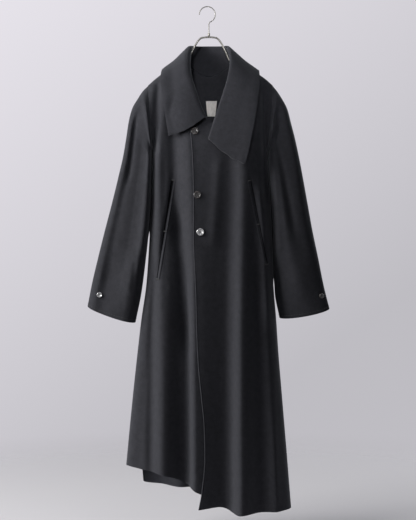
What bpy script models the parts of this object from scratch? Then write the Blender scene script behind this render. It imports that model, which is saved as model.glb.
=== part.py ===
"""Long flared wool coat with a deep turned-down collar, hanging on a wire hanger.

Metres, +Z up, the front faces -Y. The origin is under the hook's top, where the hanger rests on a rod.
Left and right are the wearer's: the left front is at +X and laps over the right one.
"""

import math
from collections import namedtuple

import bmesh
import bpy
from mathutils import Vector
from mathutils.bvhtree import BVHTree

COLLECTION = "long_coat_on_hanger"

# Cloth and sewing
CLOTH = 0.002            # wall of the wool cloth
COLLAR_CLOTH = 0.003     # wall of the collar, two cloths sewn together
SEAM = 0.0003            # gap where two pieces are sewn together
CORNER = 0.0024          # gap between front and back at both ends of the armhole
SLEEVE_SEAM = 0.0007     # gap at the armhole, where the sleeve turns away from the body
LAP_LIFT = 0.005         # how far the left front stands off the right one where it laps it
LAP_START = 0.080        # place across the left front where it begins to lift
LAP_END = 0.015          # place across the left front where it is fully lifted

# Levels of the coat
NECK_POINT = -0.142      # shoulder seam at the neck
SHOULDER_POINT = -0.229  # shoulder seam at the sleeve
UNDERARM = -0.430        # bottom of the armhole
NECK_FADE = -0.500       # rows are level below this, above it they follow the neckline
WAIST = -0.700           # rows slope towards the hem below this
HEM_LEVEL = -1.449       # hem at the left side seam
ARMHOLE_FRONT = 0.052    # depth of the armhole in front of the shoulder seam
ARMHOLE_BACK = 0.051     # depth of the armhole behind the shoulder seam

# Rows and columns of the cloth's walls
NECK_ROWS = 4
ARMHOLE_ROWS = 8
CHEST_ROWS = 5
SKIRT_ROWS = 11
FRONT_COLUMNS = 18
BACK_COLUMNS = 24
SLEEVE_ROWS = 15
HALVINGS = 48            # steps of the search for the level where a column meets the neckline
CLEARING_STEPS = 6       # steps by which the collar is moved off the body
MERGE = 0.00001          # distance under which points are one

# Shoulder line: level, and the seam's place across on the right and left
Shoulder = namedtuple("Shoulder", "level right left")
SHOULDERS = [
    Shoulder(NECK_POINT, -0.070, 0.074),
    Shoulder(-0.170, -0.105, 0.111),
    Shoulder(-0.196, -0.138, 0.146),
    Shoulder(-0.212, -0.158, 0.168),
    Shoulder(SHOULDER_POINT, -0.176, 0.186),
]

# Body sections: level, side places on the right and left, reach of the front and of the back,
# and squareness (2 for an ellipse, more for flatter fronts and sides)
Section = namedtuple("Section", "level right left front back square")
SECTIONS = [
    Section(NECK_POINT, -0.182, 0.192, 0.034, 0.040, 2.2),
    Section(SHOULDER_POINT, -0.176, 0.186, 0.056, 0.058, 2.8),
    Section(-0.330, -0.168, 0.177, 0.071, 0.069, 4.0),
    Section(UNDERARM, -0.160, 0.169, 0.079, 0.074, 4.0),
    Section(-0.560, -0.163, 0.176, 0.083, 0.080, 3.4),
    Section(-0.650, -0.169, 0.181, 0.085, 0.085, 3.0),
    Section(-0.800, -0.178, 0.186, 0.087, 0.092, 2.6),
    Section(-0.910, -0.194, 0.194, 0.088, 0.098, 2.4),
    Section(-1.000, -0.205, 0.199, 0.089, 0.103, 2.3),
    Section(-1.140, -0.221, 0.211, 0.090, 0.110, 2.2),
    Section(-1.325, -0.239, 0.228, 0.090, 0.118, 2.2),
    Section(HEM_LEVEL, -0.250, 0.239, 0.090, 0.122, 2.2),
]

# Necklines of the fronts and their front edges: level and place across
Line = namedtuple("Line", "level across")
RIGHT_NECKLINE = [
    Line(NECK_POINT, -0.070), Line(-0.200, -0.068), Line(-0.250, -0.054),
    Line(-0.290, -0.038), Line(-0.325, -0.022), Line(-0.345, 0.012),
]
RIGHT_FRONT_EDGE = [Line(-0.345, 0.012), Line(-0.900, 0.014), Line(-1.200, 0.030), Line(HEM_LEVEL, 0.030)]
LEFT_NECKLINE = [
    Line(NECK_POINT, 0.074), Line(-0.200, 0.071), Line(-0.250, 0.060), Line(-0.300, 0.045),
    Line(-0.335, 0.027), Line(-0.349, -0.010), Line(-0.359, -0.054),
]
LEFT_FRONT_EDGE = [
    Line(-0.359, -0.054), Line(-0.422, -0.048), Line(-0.549, -0.044), Line(-0.657, -0.044),
    Line(-0.846, -0.037), Line(-0.903, -0.036), Line(-1.024, -0.031), Line(-1.129, -0.021),
    Line(-1.205, -0.014), Line(-1.290, -0.012), Line(-1.394, -0.021), Line(HEM_LEVEL, -0.031),
]
BACK_NECKLINE = [
    Line(NECK_POINT, -0.070), Line(-0.172, -0.050), Line(-0.195, 0.001),
    Line(-0.172, 0.053), Line(NECK_POINT, 0.074),
]

# Hems: place across and level
Hem = namedtuple("Hem", "across level")
RIGHT_HEM = [
    Hem(-0.240, -1.325), Hem(-0.184, -1.335), Hem(-0.124, -1.347),
    Hem(-0.066, -1.373), Hem(-0.025, -1.396), Hem(0.030, -1.410),
]
LEFT_HEM = [Hem(-0.031, -1.443), Hem(0.020, -1.440), Hem(0.100, -1.450), Hem(0.239, HEM_LEVEL)]
BACK_HEM = [
    Hem(-0.240, -1.325), Hem(-0.195, -1.394), Hem(-0.130, -1.404),
    Hem(-0.050, -1.412), Hem(0.100, -1.432), Hem(0.239, HEM_LEVEL),
]

# Folds: place across, how far each stands proud of the round at the chest and at the hem
Fold = namedtuple("Fold", "across chest hem")
FRONT_FOLDS = [
    Fold(-0.184, 0.000, -0.016), Fold(-0.150, 0.004, -0.005), Fold(-0.122, -0.009, 0.008),
    Fold(-0.066, -0.003, -0.046), Fold(-0.030, 0.003, 0.000), Fold(0.053, -0.003, -0.038),
    Fold(0.100, 0.011, 0.028), Fold(0.150, -0.006, -0.010), Fold(0.192, 0.000, 0.008),
]
BACK_FOLDS = [
    Fold(-0.200, 0.000, -0.012), Fold(-0.145, 0.004, 0.014), Fold(-0.085, -0.006, -0.026),
    Fold(-0.025, 0.004, 0.016), Fold(0.035, -0.004, -0.022), Fold(0.095, 0.005, 0.020),
    Fold(0.150, -0.005, -0.018), Fold(0.200, 0.000, 0.006),
]
# How much of the chest's folds and of the hem's folds shows at each level
Growth = namedtuple("Growth", "level chest hem")
FOLD_GROWTH = [
    Growth(-0.330, 0.00, 0.00), Growth(-0.480, 1.00, 0.04), Growth(-0.650, 0.85, 0.22),
    Growth(-0.800, 0.45, 0.45), Growth(-1.000, 0.10, 0.68), Growth(-1.200, 0.00, 0.86),
    Growth(HEM_LEVEL, 0.00, 1.00),
]
SIDE_CROWDING = 0.53     # how much closer the columns stand at the side seams, from 0 for even ones
SEAM_SHARE = 0.0003      # place of the first column beside a seam, so that both walls end square to it
ARMHOLE_SHARE = 0.012    # place of the first column beside an armhole
RIM_SHARE = 0.12         # share of the half width over which the body turns towards the armhole's rim
ARMHOLE_FLAT = 0.8       # share of the armhole's depth from which the body leaves it flat
FOLD_SIDE_FADE = 0.18    # share of the half width over which folds die out at the side seams

# Sleeve rings: outer and inner points seen from the front, half depth and how far the ring sits forward
Ring = namedtuple("Ring", "outer_x outer_z inner_x inner_z depth forward")
RIGHT_SLEEVE = [
    Ring(-0.190, -0.243, -0.1620, -0.4330, 0.0565, 0.000),
    Ring(-0.206, -0.268, -0.1630, -0.4370, 0.0580, 0.000),
    Ring(-0.222, -0.298, -0.1640, -0.4430, 0.0590, 0.000),
    Ring(-0.231, -0.334, -0.1645, -0.4520, 0.0600, 0.001),
    Ring(-0.238, -0.380, -0.1650, -0.4680, 0.0600, 0.002),
    Ring(-0.247, -0.434, -0.1660, -0.4950, 0.0580, 0.004),
    Ring(-0.262, -0.498, -0.1675, -0.5380, 0.0550, 0.006),
    Ring(-0.280, -0.570, -0.1700, -0.5940, 0.0520, 0.008),
    Ring(-0.300, -0.647, -0.1740, -0.6600, 0.0480, 0.010),
    Ring(-0.320, -0.728, -0.1850, -0.7420, 0.0430, 0.012),
    Ring(-0.337, -0.800, -0.1970, -0.8280, 0.0370, 0.012),
    Ring(-0.350, -0.866, -0.2140, -0.9120, 0.0310, 0.012),
]
LEFT_SLEEVE = [
    Ring(0.200, -0.247, 0.1710, -0.4330, 0.0565, 0.000),
    Ring(0.215, -0.272, 0.1720, -0.4370, 0.0580, 0.000),
    Ring(0.228, -0.300, 0.1730, -0.4430, 0.0590, 0.000),
    Ring(0.237, -0.335, 0.1738, -0.4520, 0.0600, 0.001),
    Ring(0.249, -0.382, 0.1748, -0.4680, 0.0600, 0.002),
    Ring(0.261, -0.438, 0.1765, -0.4950, 0.0580, 0.004),
    Ring(0.273, -0.500, 0.1790, -0.5380, 0.0550, 0.006),
    Ring(0.286, -0.570, 0.1820, -0.5940, 0.0520, 0.008),
    Ring(0.300, -0.648, 0.1855, -0.6600, 0.0480, 0.010),
    Ring(0.317, -0.730, 0.1890, -0.7450, 0.0430, 0.012),
    Ring(0.332, -0.805, 0.1930, -0.8250, 0.0370, 0.012),
    Ring(0.349, -0.873, 0.2070, -0.8990, 0.0310, 0.012),
]
# Sleeve folds: degrees from the outer edge round by the front, and how far each stands proud
SleeveFold = namedtuple("SleeveFold", "turn proud")
RIGHT_SLEEVE_FOLDS = [
    SleeveFold(0, 0.000), SleeveFold(55, -0.007), SleeveFold(110, 0.004), SleeveFold(180, 0.000),
    SleeveFold(235, -0.005), SleeveFold(290, 0.003), SleeveFold(360, 0.000),
]
LEFT_SLEEVE_FOLDS = [
    SleeveFold(0, 0.000), SleeveFold(40, 0.002), SleeveFold(80, -0.006), SleeveFold(125, 0.005),
    SleeveFold(180, 0.000), SleeveFold(240, -0.004), SleeveFold(300, 0.003), SleeveFold(360, 0.000),
]

SLEEVE_FOLD_RISE = 0.4      # share of the sleeve's length over which its folds grow to their full depth

# Collar: share of the way along the neck seam from its right end to its left, fold line and outer edge
Wing = namedtuple("Wing", "share fold edge")
COLLAR = [
    Wing(0.000, (-0.005, -0.086, -0.329), (-0.113, -0.065, -0.381)),
    Wing(0.060, (-0.019, -0.081, -0.298), (-0.119, -0.067, -0.345)),
    Wing(0.130, (-0.033, -0.074, -0.254), (-0.125, -0.065, -0.302)),
    Wing(0.210, (-0.048, -0.063, -0.203), (-0.130, -0.053, -0.256)),
    Wing(0.260, (-0.052, -0.050, -0.163), (-0.132, -0.041, -0.216)),
    Wing(0.316, (-0.049, 0.000, -0.117), (-0.131, 0.002, -0.183)),
    Wing(0.400, (-0.034, 0.047, -0.108), (-0.094, 0.072, -0.212)),
    Wing(0.490, (0.001, 0.062, -0.104), (0.002, 0.086, -0.222)),
    Wing(0.580, (0.037, 0.047, -0.108), (0.099, 0.072, -0.212)),
    Wing(0.664, (0.055, 0.000, -0.117), (0.143, 0.002, -0.186)),
    Wing(0.712, (0.060, -0.050, -0.163), (0.144, -0.046, -0.232)),
    Wing(0.770, (0.055, -0.064, -0.203), (0.140, -0.059, -0.277)),
    Wing(0.840, (0.041, -0.077, -0.254), (0.131, -0.067, -0.334)),
    Wing(0.915, (0.024, -0.087, -0.307), (0.119, -0.070, -0.396)),
    Wing(0.965, (0.007, -0.094, -0.359), (0.110, -0.090, -0.436)),
    Wing(1.000, (-0.002, -0.098, -0.391), (0.103, -0.096, -0.465)),
]
# Collar columns: share where a stretch ends and the columns in it, closest where it turns over the shoulders
Stretch = namedtuple("Stretch", "end columns")
COLLAR_STRETCHES = [
    Stretch(0.25, 8), Stretch(0.39, 11), Stretch(0.59, 7), Stretch(0.73, 11), Stretch(1.0, 9),
]
COLLAR_RIGHT_END = -0.022   # place across where the collar ends on the right neckline
COLLAR_LEFT_END = 0.027     # place across where the collar ends on the left neckline
COLLAR_SEAM = 0.0008        # gap between the collar's foot and the neckline
ROLL = 0.006                # radius of the collar's rolled fold
STAND_ROWS = 3
ROLL_ROWS = 4
FALL_ROWS = 6
FALL_CLEARANCE = 0.0060     # outer face of the collar off the body
END_BOW = 0.009             # bow of the collar's short ends
END_BOW_REACH = 0.12        # share of the collar over which the bow dies out
RUN_STEP = 0.02             # share of the collar over which the fold line's run is taken

# Label, sewn inside the back below the neck
LABEL_MIDDLE = 0.008
LABEL_TOP = -0.264
LABEL_WIDTH = 0.033
LABEL_HEIGHT = 0.045
LABEL_CLOTH = 0.0008
LABEL_ROWS = 5

# Pocket welts: top and bottom middle points seen from the front
Welt = namedtuple("Welt", "top_x top_z bottom_x bottom_z")
RIGHT_WELT = Welt(-0.101, -0.505, -0.144, -0.787)
LEFT_WELT = Welt(0.116, -0.508, 0.164, -0.745)
WELT_WIDTH = 0.012
WELT_CLOTH = 0.0018
WELT_ROWS = 16
LAID_ON = 0.0006            # gap under what is sewn on to a panel

# Buttons: place seen from the front
Place = namedtuple("Place", "x z")
FRONT_BUTTONS = [Place(-0.0395, -0.368), Place(-0.0325, -0.549), Place(-0.0240, -0.657)]
RIGHT_CUFF_BUTTON = Place(-0.314, -0.833)
LEFT_CUFF_BUTTON = Place(0.323, -0.836)
FRONT_BUTTON_RADIUS = 0.0108
CUFF_BUTTON_RADIUS = 0.0080
BUTTON_THICK = 0.0036
BUTTON_STEPS = 12
BUTTON_HOLES = 4
BUTTON_HOLE_RADIUS = 0.0010
BUTTON_HOLE_SIDES = 8
BUTTON_HOLE_CIRCLE = 0.26   # share of the button's radius
# Turned profile of a button: shares of its radius and of its thickness, from the back's middle round the rim
Turned = namedtuple("Turned", "radius height")
BUTTON_PROFILE = [
    Turned(0.0, 0.0), Turned(0.80, 0.0), Turned(0.97, 0.25), Turned(1.0, 0.55),
    Turned(0.90, 0.95), Turned(0.74, 1.0), Turned(0.60, 0.62), Turned(0.0, 0.55),
]

# Hanger
HOOK_WIRE = 0.0014          # radius of the hook's wire
HOOK_RADIUS = 0.0231        # hook's bend, to the middle of the wire
HOOK_MIDDLE = -0.004        # the bend's middle lies a little to the side of the shank
HOOK_FIRST = 178            # degrees, free end
HOOK_LAST = -72             # degrees, where the bend turns into the shank
HOOK_STEPS = 22
SHANK_EASE = 0.0058         # drop from the end of the bend to the straight shank
SHANK = 0.0006              # place of the shank across
FERRULE_TOP = -0.0755
FERRULE_BOTTOM = -0.0836
FERRULE_RADIUS = 0.0036
FERRULE_SIDES = 16
YOKE_WIRE = 0.0026          # radius of the yoke's wire
YOKE_TOP = -0.0868          # top of the arch, to the middle of the wire
YOKE_ARCH = 0.029           # half width of the arch at its bends
YOKE_BEND = -0.095          # level of the bends
YOKE_CROWN = 0.0203         # half width of the arch's crown
YOKE_CROWN_LEVEL = -0.0886
YOKE_LEG = 0.0525           # half width where the legs go behind the collar
YOKE_LEG_LEVEL = -0.137
YOKE_ELBOW = 0.061          # half width where the legs turn into the arms
YOKE_ELBOW_LEVEL = -0.155
ARM_DROP = 0.0054           # middle of the arm's wire under the shoulder seam
ARM_LEVELS = (-0.178, -0.192, -0.204, -0.213)


def through(knots):
    """A smooth curve through (place, value) knots that never overshoots and is flat past its ends."""
    knots = sorted(knots)
    places = [knot[0] for knot in knots]
    values = [knot[1] for knot in knots]
    steps = [b - a for a, b in zip(places, places[1:])]
    rises = [(b - a) / step for a, b, step in zip(values, values[1:], steps)]
    slopes = [rises[0]]
    for before, after in zip(rises, rises[1:]):
        slopes.append(0.0 if before * after <= 0 else 2 * before * after / (before + after))
    slopes.append(rises[-1])

    def value_at(place):
        if place <= places[0]:
            return values[0]
        if place >= places[-1]:
            return values[-1]
        i = max(k for k, start in enumerate(places) if start <= place)
        t = (place - places[i]) / steps[i]
        start = values[i] * (1 + 2 * t) * (1 - t) ** 2 + values[i + 1] * t * t * (3 - 2 * t)
        return start + steps[i] * (slopes[i] * t * (1 - t) ** 2 - slopes[i + 1] * t * t * (1 - t))

    return value_at


def ease(share):
    """Soft step from 0 to 1."""
    share = min(1.0, max(0.0, share))
    return share * share * (3 - 2 * share)


def column(rows, place, value):
    """Smooth curve of one column of a table against another."""
    return through([(getattr(row, place), getattr(row, value)) for row in rows])


SHOULDER_X = {"right": column(SHOULDERS, "level", "right"), "left": column(SHOULDERS, "level", "left")}
SIDE_X = {"right": column(SECTIONS, "level", "right"), "left": column(SECTIONS, "level", "left")}
FRONT_REACH = column(SECTIONS, "level", "front")
BACK_REACH = column(SECTIONS, "level", "back")
SQUARE = column(SECTIONS, "level", "square")
CHEST_GROWTH = column(FOLD_GROWTH, "level", "chest")
HEM_GROWTH = column(FOLD_GROWTH, "level", "hem")
FRONT_CHEST = column(FRONT_FOLDS, "across", "chest")
FRONT_SKIRT = column(FRONT_FOLDS, "across", "hem")
BACK_CHEST = column(BACK_FOLDS, "across", "chest")
BACK_SKIRT = column(BACK_FOLDS, "across", "hem")


def body_side(side, level):
    """Place across of the body's outline: the shoulder seam, then the armhole and the side seam."""
    if level > SHOULDER_POINT:
        return SHOULDER_X[side](level)
    return SIDE_X[side](level)


def armhole_rim(level, depth):
    """How far the armhole's rim lies from the shoulder seam's plane at a level."""
    middle = (SHOULDER_POINT + UNDERARM) / 2
    t = (level - middle) / ((SHOULDER_POINT - UNDERARM) / 2)
    return depth * math.sqrt(max(0.0, 1 - t * t))


def bulge(x, level, reach, armhole, chest_fold, skirt_fold):
    """How far the body's round and its folds stand from the plane of the side seams."""
    outline = body_side("right" if x < 0 else "left", level)
    across = min(1.0, abs(x / outline))
    square = SQUARE(level)
    proud = reach * (1 - across ** square) ** (1 / square)
    rim = armhole_rim(level, armhole)
    beside = (1 - across) / RIM_SHARE
    if beside < 1 and rim > 0:
        inside = reach * (1 - (1 - RIM_SHARE) ** square) ** (1 / square)
        shape = proud / inside
        shape += (beside - shape) * ease(rim / armhole / ARMHOLE_FLAT)
        proud = rim + (inside - rim) * shape
    fold = CHEST_GROWTH(level) * chest_fold(x) + HEM_GROWTH(level) * skirt_fold(x)
    return proud + fold * ease((1 - across) / FOLD_SIDE_FADE)


def right_front_y(x, level):
    return -bulge(x, level, FRONT_REACH(level), ARMHOLE_FRONT, FRONT_CHEST, FRONT_SKIRT)


def left_front_y(x, level):
    return right_front_y(x, level) - LAP_LIFT * ease((LAP_START - x) / (LAP_START - LAP_END))


def back_y(x, level):
    return bulge(x, level, BACK_REACH(level), ARMHOLE_BACK, BACK_CHEST, BACK_SKIRT)


def level_rows():
    """Levels of the body's rows; those of the armhole are spaced as a ring is."""
    rows = [NECK_POINT + (SHOULDER_POINT - NECK_POINT) * i / NECK_ROWS for i in range(NECK_ROWS)]
    middle = (SHOULDER_POINT + UNDERARM) / 2
    half = (SHOULDER_POINT - UNDERARM) / 2
    rows += [middle + half * math.cos(math.pi * i / ARMHOLE_ROWS) for i in range(ARMHOLE_ROWS)]
    rows += [UNDERARM + (WAIST - UNDERARM) * i / CHEST_ROWS for i in range(CHEST_ROWS)]
    rows += [WAIST + (HEM_LEVEL - WAIST) * i / SKIRT_ROWS for i in range(SKIRT_ROWS + 1)]
    return rows


def meeting(above, high, low):
    """Level between two others where a falling measure crosses zero."""
    for _ in range(HALVINGS):
        half = (high + low) / 2
        if above(half) > 0:
            high = half
        else:
            low = half
    return (high + low) / 2


def cloth_level(level, top, hem):
    """Level of a row in a column that starts at the neckline's level and ends at the hem's."""
    fade = max(0.0, (level - NECK_FADE) / (NECK_POINT - NECK_FADE))
    if level >= WAIST:
        return level - (NECK_POINT - top) * fade
    return WAIST + (hem - WAIST) * (level - WAIST) / (HEM_LEVEL - WAIST)


def beside_seam(level):
    """Share of the width between a seam or an armhole and the first column beside it."""
    return SEAM_SHARE + (ARMHOLE_SHARE - SEAM_SHARE) * ease(2 * armhole_rim(level, 1.0))


def seam_shift(level):
    """Half a seam's gap, wider at both ends of the armhole, where three pieces meet."""
    from_end = min(abs(level - SHOULDER_POINT), abs(level - UNDERARM))
    return CORNER / 2 if from_end < SEAM else SEAM / 2


def front_points(side, neckline, edge_line, hem_line, depth_at):
    """Rows of points of one front, from its outer seam to its front edge."""
    neck = column(neckline, "level", "across")
    edge = column(edge_line, "level", "across")
    hem = column(hem_line, "across", "level")
    sign = 1 if side == "right" else -1
    shares = [c / FRONT_COLUMNS for c in range(1, FRONT_COLUMNS)]
    shares = [s + SIDE_CROWDING * (1 - math.cos(s * math.pi / 2) - s) for s in shares]
    shares = [0.0, SEAM_SHARE] + shares + [1.0]

    def across(share, level):
        outer = body_side(side, level)
        return outer + (edge(level) - outer) * share

    tops = []
    for share in shares:
        top = meeting(lambda z: sign * (across(share, z) - neck(z)), NECK_POINT, neckline[-1].level)
        tops.append(top if share > 0 else NECK_POINT)
    rows = []
    for level in level_rows():
        row = []
        for share, top in zip(shares, tops):
            z = cloth_level(level, top, hem(across(share, HEM_LEVEL)))
            x = across(beside_seam(z) if share == SEAM_SHARE else share, z)
            shift = seam_shift(level) if share == 0.0 else 0.0
            row.append(Vector((x, depth_at(x, z) - shift, z)))
        rows.append(row)
    return rows


def back_points():
    """Rows of points of the back, from its right seam to its left."""
    neck = column(BACK_NECKLINE, "across", "level")
    hem = column(BACK_HEM, "across", "level")
    shares = [c / BACK_COLUMNS for c in range(1, BACK_COLUMNS)]
    shares = [s + SIDE_CROWDING * ((1 - math.cos(s * math.pi)) / 2 - s) for s in shares]
    shares = [0.0, SEAM_SHARE] + shares + [1 - SEAM_SHARE, 1.0]

    def across(share, level):
        right = body_side("right", level)
        left = body_side("left", level)
        if share == SEAM_SHARE:
            share = beside_seam(level)
        if share == 1 - SEAM_SHARE:
            share = 1 - beside_seam(level)
        return right + (left - right) * share

    tops = []
    for share in shares:
        top = meeting(lambda z: z - neck(across(share, z)), NECK_POINT, SHOULDER_POINT)
        tops.append(top if 0 < share < 1 else NECK_POINT)
    rows = []
    for level in level_rows():
        row = []
        for share, top in zip(shares, tops):
            z = cloth_level(level, top, hem(across(share, HEM_LEVEL)))
            x = across(share, z)
            shift = seam_shift(level) if share in (0.0, 1.0) else 0.0
            row.append(Vector((x, back_y(x, z) + shift, z)))
        rows.append(row)
    return rows


def sleeve_points(side, rings, folds):
    """Rows of points of a sleeve, rings from the armhole to the cuff; each ring starts at its outer point."""
    proud = column(folds, "turn", "proud")
    turns = [2 * math.pi * i / (2 * ARMHOLE_ROWS) for i in range(2 * ARMHOLE_ROWS + 1)]
    middle = (SHOULDER_POINT + UNDERARM) / 2
    half = (SHOULDER_POINT - UNDERARM) / 2
    armhole = []
    for turn in turns:
        z = middle + half * math.cos(turn)
        depth = ARMHOLE_FRONT if turn < math.pi else ARMHOLE_BACK
        armhole.append(Vector((SIDE_X[side](z), -depth * math.sin(turn), z)))
    places = [i / (len(rings) - 1) for i in range(len(rings))]
    curves = [through(list(zip(places, values))) for values in zip(*rings)]
    rows = [armhole]
    for i in range(SLEEVE_ROWS):
        place = i / (SLEEVE_ROWS - 1)
        ring = Ring(*[curve(place) for curve in curves])
        outer = Vector((ring.outer_x, -ring.forward, ring.outer_z))
        inner = Vector((ring.inner_x, -ring.forward, ring.inner_z))
        grown = ease(place / SLEEVE_FOLD_RISE)
        row = []
        for turn in turns:
            point = (outer + inner) / 2 + (outer - inner) / 2 * math.cos(turn)
            depth = ring.depth + grown * proud(math.degrees(turn))
            row.append(point - Vector((0, depth * math.sin(turn), 0)))
        rows.append(row)
    for i, point in enumerate(armhole):
        armhole[i] = point + (rows[1][i] - point).normalized() * SLEEVE_SEAM
    return rows


def along(points, share):
    """Point a share of the way along a line of points."""
    lengths = [(b - a).length for a, b in zip(points, points[1:])]
    rest = share * sum(lengths)
    for a, b, length in zip(points, points[1:], lengths):
        if rest <= length:
            return a.lerp(b, rest / length)
        rest -= length
    return points[-1].copy()


def guide(rows, place, value):
    """Smooth line in space through one column of a table."""
    axes = [through([(getattr(row, place), getattr(row, value)[axis]) for row in rows]) for axis in range(3)]
    return lambda share: Vector([axis(share) for axis in axes])


def surface_of(grids):
    """Search tree of the outer faces of some panels."""
    points = []
    faces = []
    for rows in grids:
        first = len(points)
        width = len(rows[0])
        points += [point for row in rows for point in row]
        for r in range(len(rows) - 1):
            for c in range(width - 1):
                a = first + r * width + c
                faces.append((a, a + 1, a + width + 1, a + width))
    return BVHTree.FromPolygons(points, faces)


def clear_of(tree, point, away, clearance):
    """Point moved away from a surface, a few steps, until it is clear of it."""
    for _ in range(CLEARING_STEPS):
        near, _, _, distance = tree.find_nearest(point)
        signed = distance if (point - near).dot(away) >= 0 else -distance
        if signed < clearance:
            point = point + away * (clearance - signed)
    return point


def cut_at(points, x):
    """Line of points from its start to a place across."""
    kept = [points[0]]
    for a, b in zip(points, points[1:]):
        if (a.x - x) * (b.x - x) <= 0:
            return kept + [a.lerp(b, (x - a.x) / (b.x - a.x))]
        kept.append(b)
    return kept


def collar_points(right_front, left_front, back):
    """Rows of points of the collar across its width: up the stand, over the rolled fold, down the fall."""
    right_seam = cut_at(right_front[0], COLLAR_RIGHT_END)
    left_seam = cut_at(left_front[0], COLLAR_LEFT_END)
    seam = right_seam[::-1] + back[0][1:-1] + left_seam
    body = surface_of([right_front, left_front, back])
    fold_line = guide(COLLAR, "share", "fold")
    edge_line = guide(COLLAR, "share", "edge")
    shares = [0.0]
    for stretch in COLLAR_STRETCHES:
        start = shares[-1]
        shares += [start + (stretch.end - start) * (i + 1) / stretch.columns for i in range(stretch.columns)]
    rows = []
    for share in shares:
        foot = along(seam, share)
        fold = fold_line(share)
        edge = edge_line(share)
        run = (fold_line(min(1.0, share + RUN_STEP)) - fold_line(max(0.0, share - RUN_STEP))).normalized()
        down = (edge - fold).normalized()
        out = run.cross(down).normalized()
        centre = fold + down * ROLL
        foot = foot + (centre - out * ROLL - foot).normalized() * COLLAR_SEAM
        row = [foot.lerp(centre - out * ROLL, i / STAND_ROWS) for i in range(STAND_ROWS)]
        for i in range(ROLL_ROWS + 1):
            angle = math.pi * (i / ROLL_ROWS - 0.5)
            row.append(centre + (out * math.sin(angle) - down * math.cos(angle)) * ROLL)
        end = min(share, 1 - share)
        bow = END_BOW * ease(1 - end / END_BOW_REACH) * (-1 if share < 0.5 else 1)
        start = row[-1]
        for i in range(1, FALL_ROWS + 1):
            t = i / FALL_ROWS
            point = start.lerp(edge, t) + run * bow * math.sin(math.pi * t)
            row.append(clear_of(body, point, out, FALL_CLEARANCE))
        rows.append(row)
    return rows


def bare_scene():
    """Empty the scene."""
    for thing in list(bpy.data.objects):
        bpy.data.objects.remove(thing, do_unlink=True)


def make_material(name, colour, roughness, metallic):
    material = bpy.data.materials.new(name)
    material.use_nodes = True
    shader = material.node_tree.nodes["Principled BSDF"]
    shader.inputs["Base Color"].default_value = (*colour, 1.0)
    shader.inputs["Roughness"].default_value = roughness
    shader.inputs["Metallic"].default_value = metallic
    return material


def new_collection(name):
    collection = bpy.data.collections.new(name)
    bpy.context.scene.collection.children.link(collection)
    return collection


def new_object(name, mesh, material, collection):
    """Object of a mesh or a curve with its own material."""
    mesh.materials.append(material)
    thing = bpy.data.objects.new(name, mesh)
    collection.objects.link(thing)
    return thing


def make_shell(name, rows, wall, material, collection, outwards, closed=False):
    """Cloth through rows of points with its wall on the inner side; outwards is a point's outer direction."""
    height = len(rows) - 1
    width = len(rows[0]) - 1
    bm = bmesh.new()
    bmesh.ops.create_grid(bm, x_segments=width, y_segments=height, size=1.0)
    for vert in bm.verts:
        c = round((vert.co.x + 1) / 2 * width)
        r = round((vert.co.y + 1) / 2 * height)
        vert.co = rows[r][c]
    if closed:
        bmesh.ops.remove_doubles(bm, verts=bm.verts, dist=MERGE)
    bm.normal_update()
    facing = sum(face.normal.dot(outwards(face.calc_center_median())) * face.calc_area() for face in bm.faces)
    if facing < 0:
        bmesh.ops.reverse_faces(bm, faces=bm.faces)
    mesh = bpy.data.meshes.new(name)
    bm.to_mesh(mesh)
    bm.free()
    thing = new_object(name, mesh, material, collection)
    shell = thing.modifiers.new("wall", "SOLIDIFY")
    shell.thickness = wall
    shell.offset = -1.0
    shell.use_even_offset = True
    shell.use_quality_normals = True
    return thing


def solid_tree(thing):
    """Search tree of an object's finished solid."""
    graph = bpy.context.evaluated_depsgraph_get()
    return BVHTree.FromObject(thing, graph)


def touch(tree, x, z, towards):
    """Where a line along Y meets a solid first, and the face's outer direction there."""
    place, normal, _, _ = tree.ray_cast(Vector((x, -towards, z)), Vector((0, towards, 0)))
    return place, normal


def make_welt(name, welt, panel, material, collection):
    """Narrow strip along a pocket's mouth, lying on its panel."""
    tree = solid_tree(panel)
    top = Vector((welt.top_x, 0, welt.top_z))
    bottom = Vector((welt.bottom_x, 0, welt.bottom_z))
    sideways = (bottom - top).normalized().cross(Vector((0, 1, 0)))
    rows = []
    for i in range(WELT_ROWS + 1):
        row = []
        for edge in (-0.5, 0.0, 0.5):
            point = top.lerp(bottom, i / WELT_ROWS) + sideways * edge * WELT_WIDTH
            place, normal = touch(tree, point.x, point.z, 1)
            row.append(place + normal * (LAID_ON + WELT_CLOTH))
        rows.append(row)
    return make_shell(name, rows, WELT_CLOTH, material, collection, forwards)


def make_label(panel, material, collection):
    """Plain woven label on the inside of the back."""
    tree = solid_tree(panel)
    rows = []
    for i in range(LABEL_ROWS + 1):
        row = []
        for c in range(LABEL_ROWS + 1):
            x = LABEL_MIDDLE + LABEL_WIDTH * (c / LABEL_ROWS - 0.5)
            place, normal = touch(tree, x, LABEL_TOP - LABEL_HEIGHT * i / LABEL_ROWS, 1)
            row.append(place + normal * (LAID_ON + LABEL_CLOTH))
        rows.append(row)
    return make_shell("label", rows, LABEL_CLOTH, material, collection, forwards)


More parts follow.
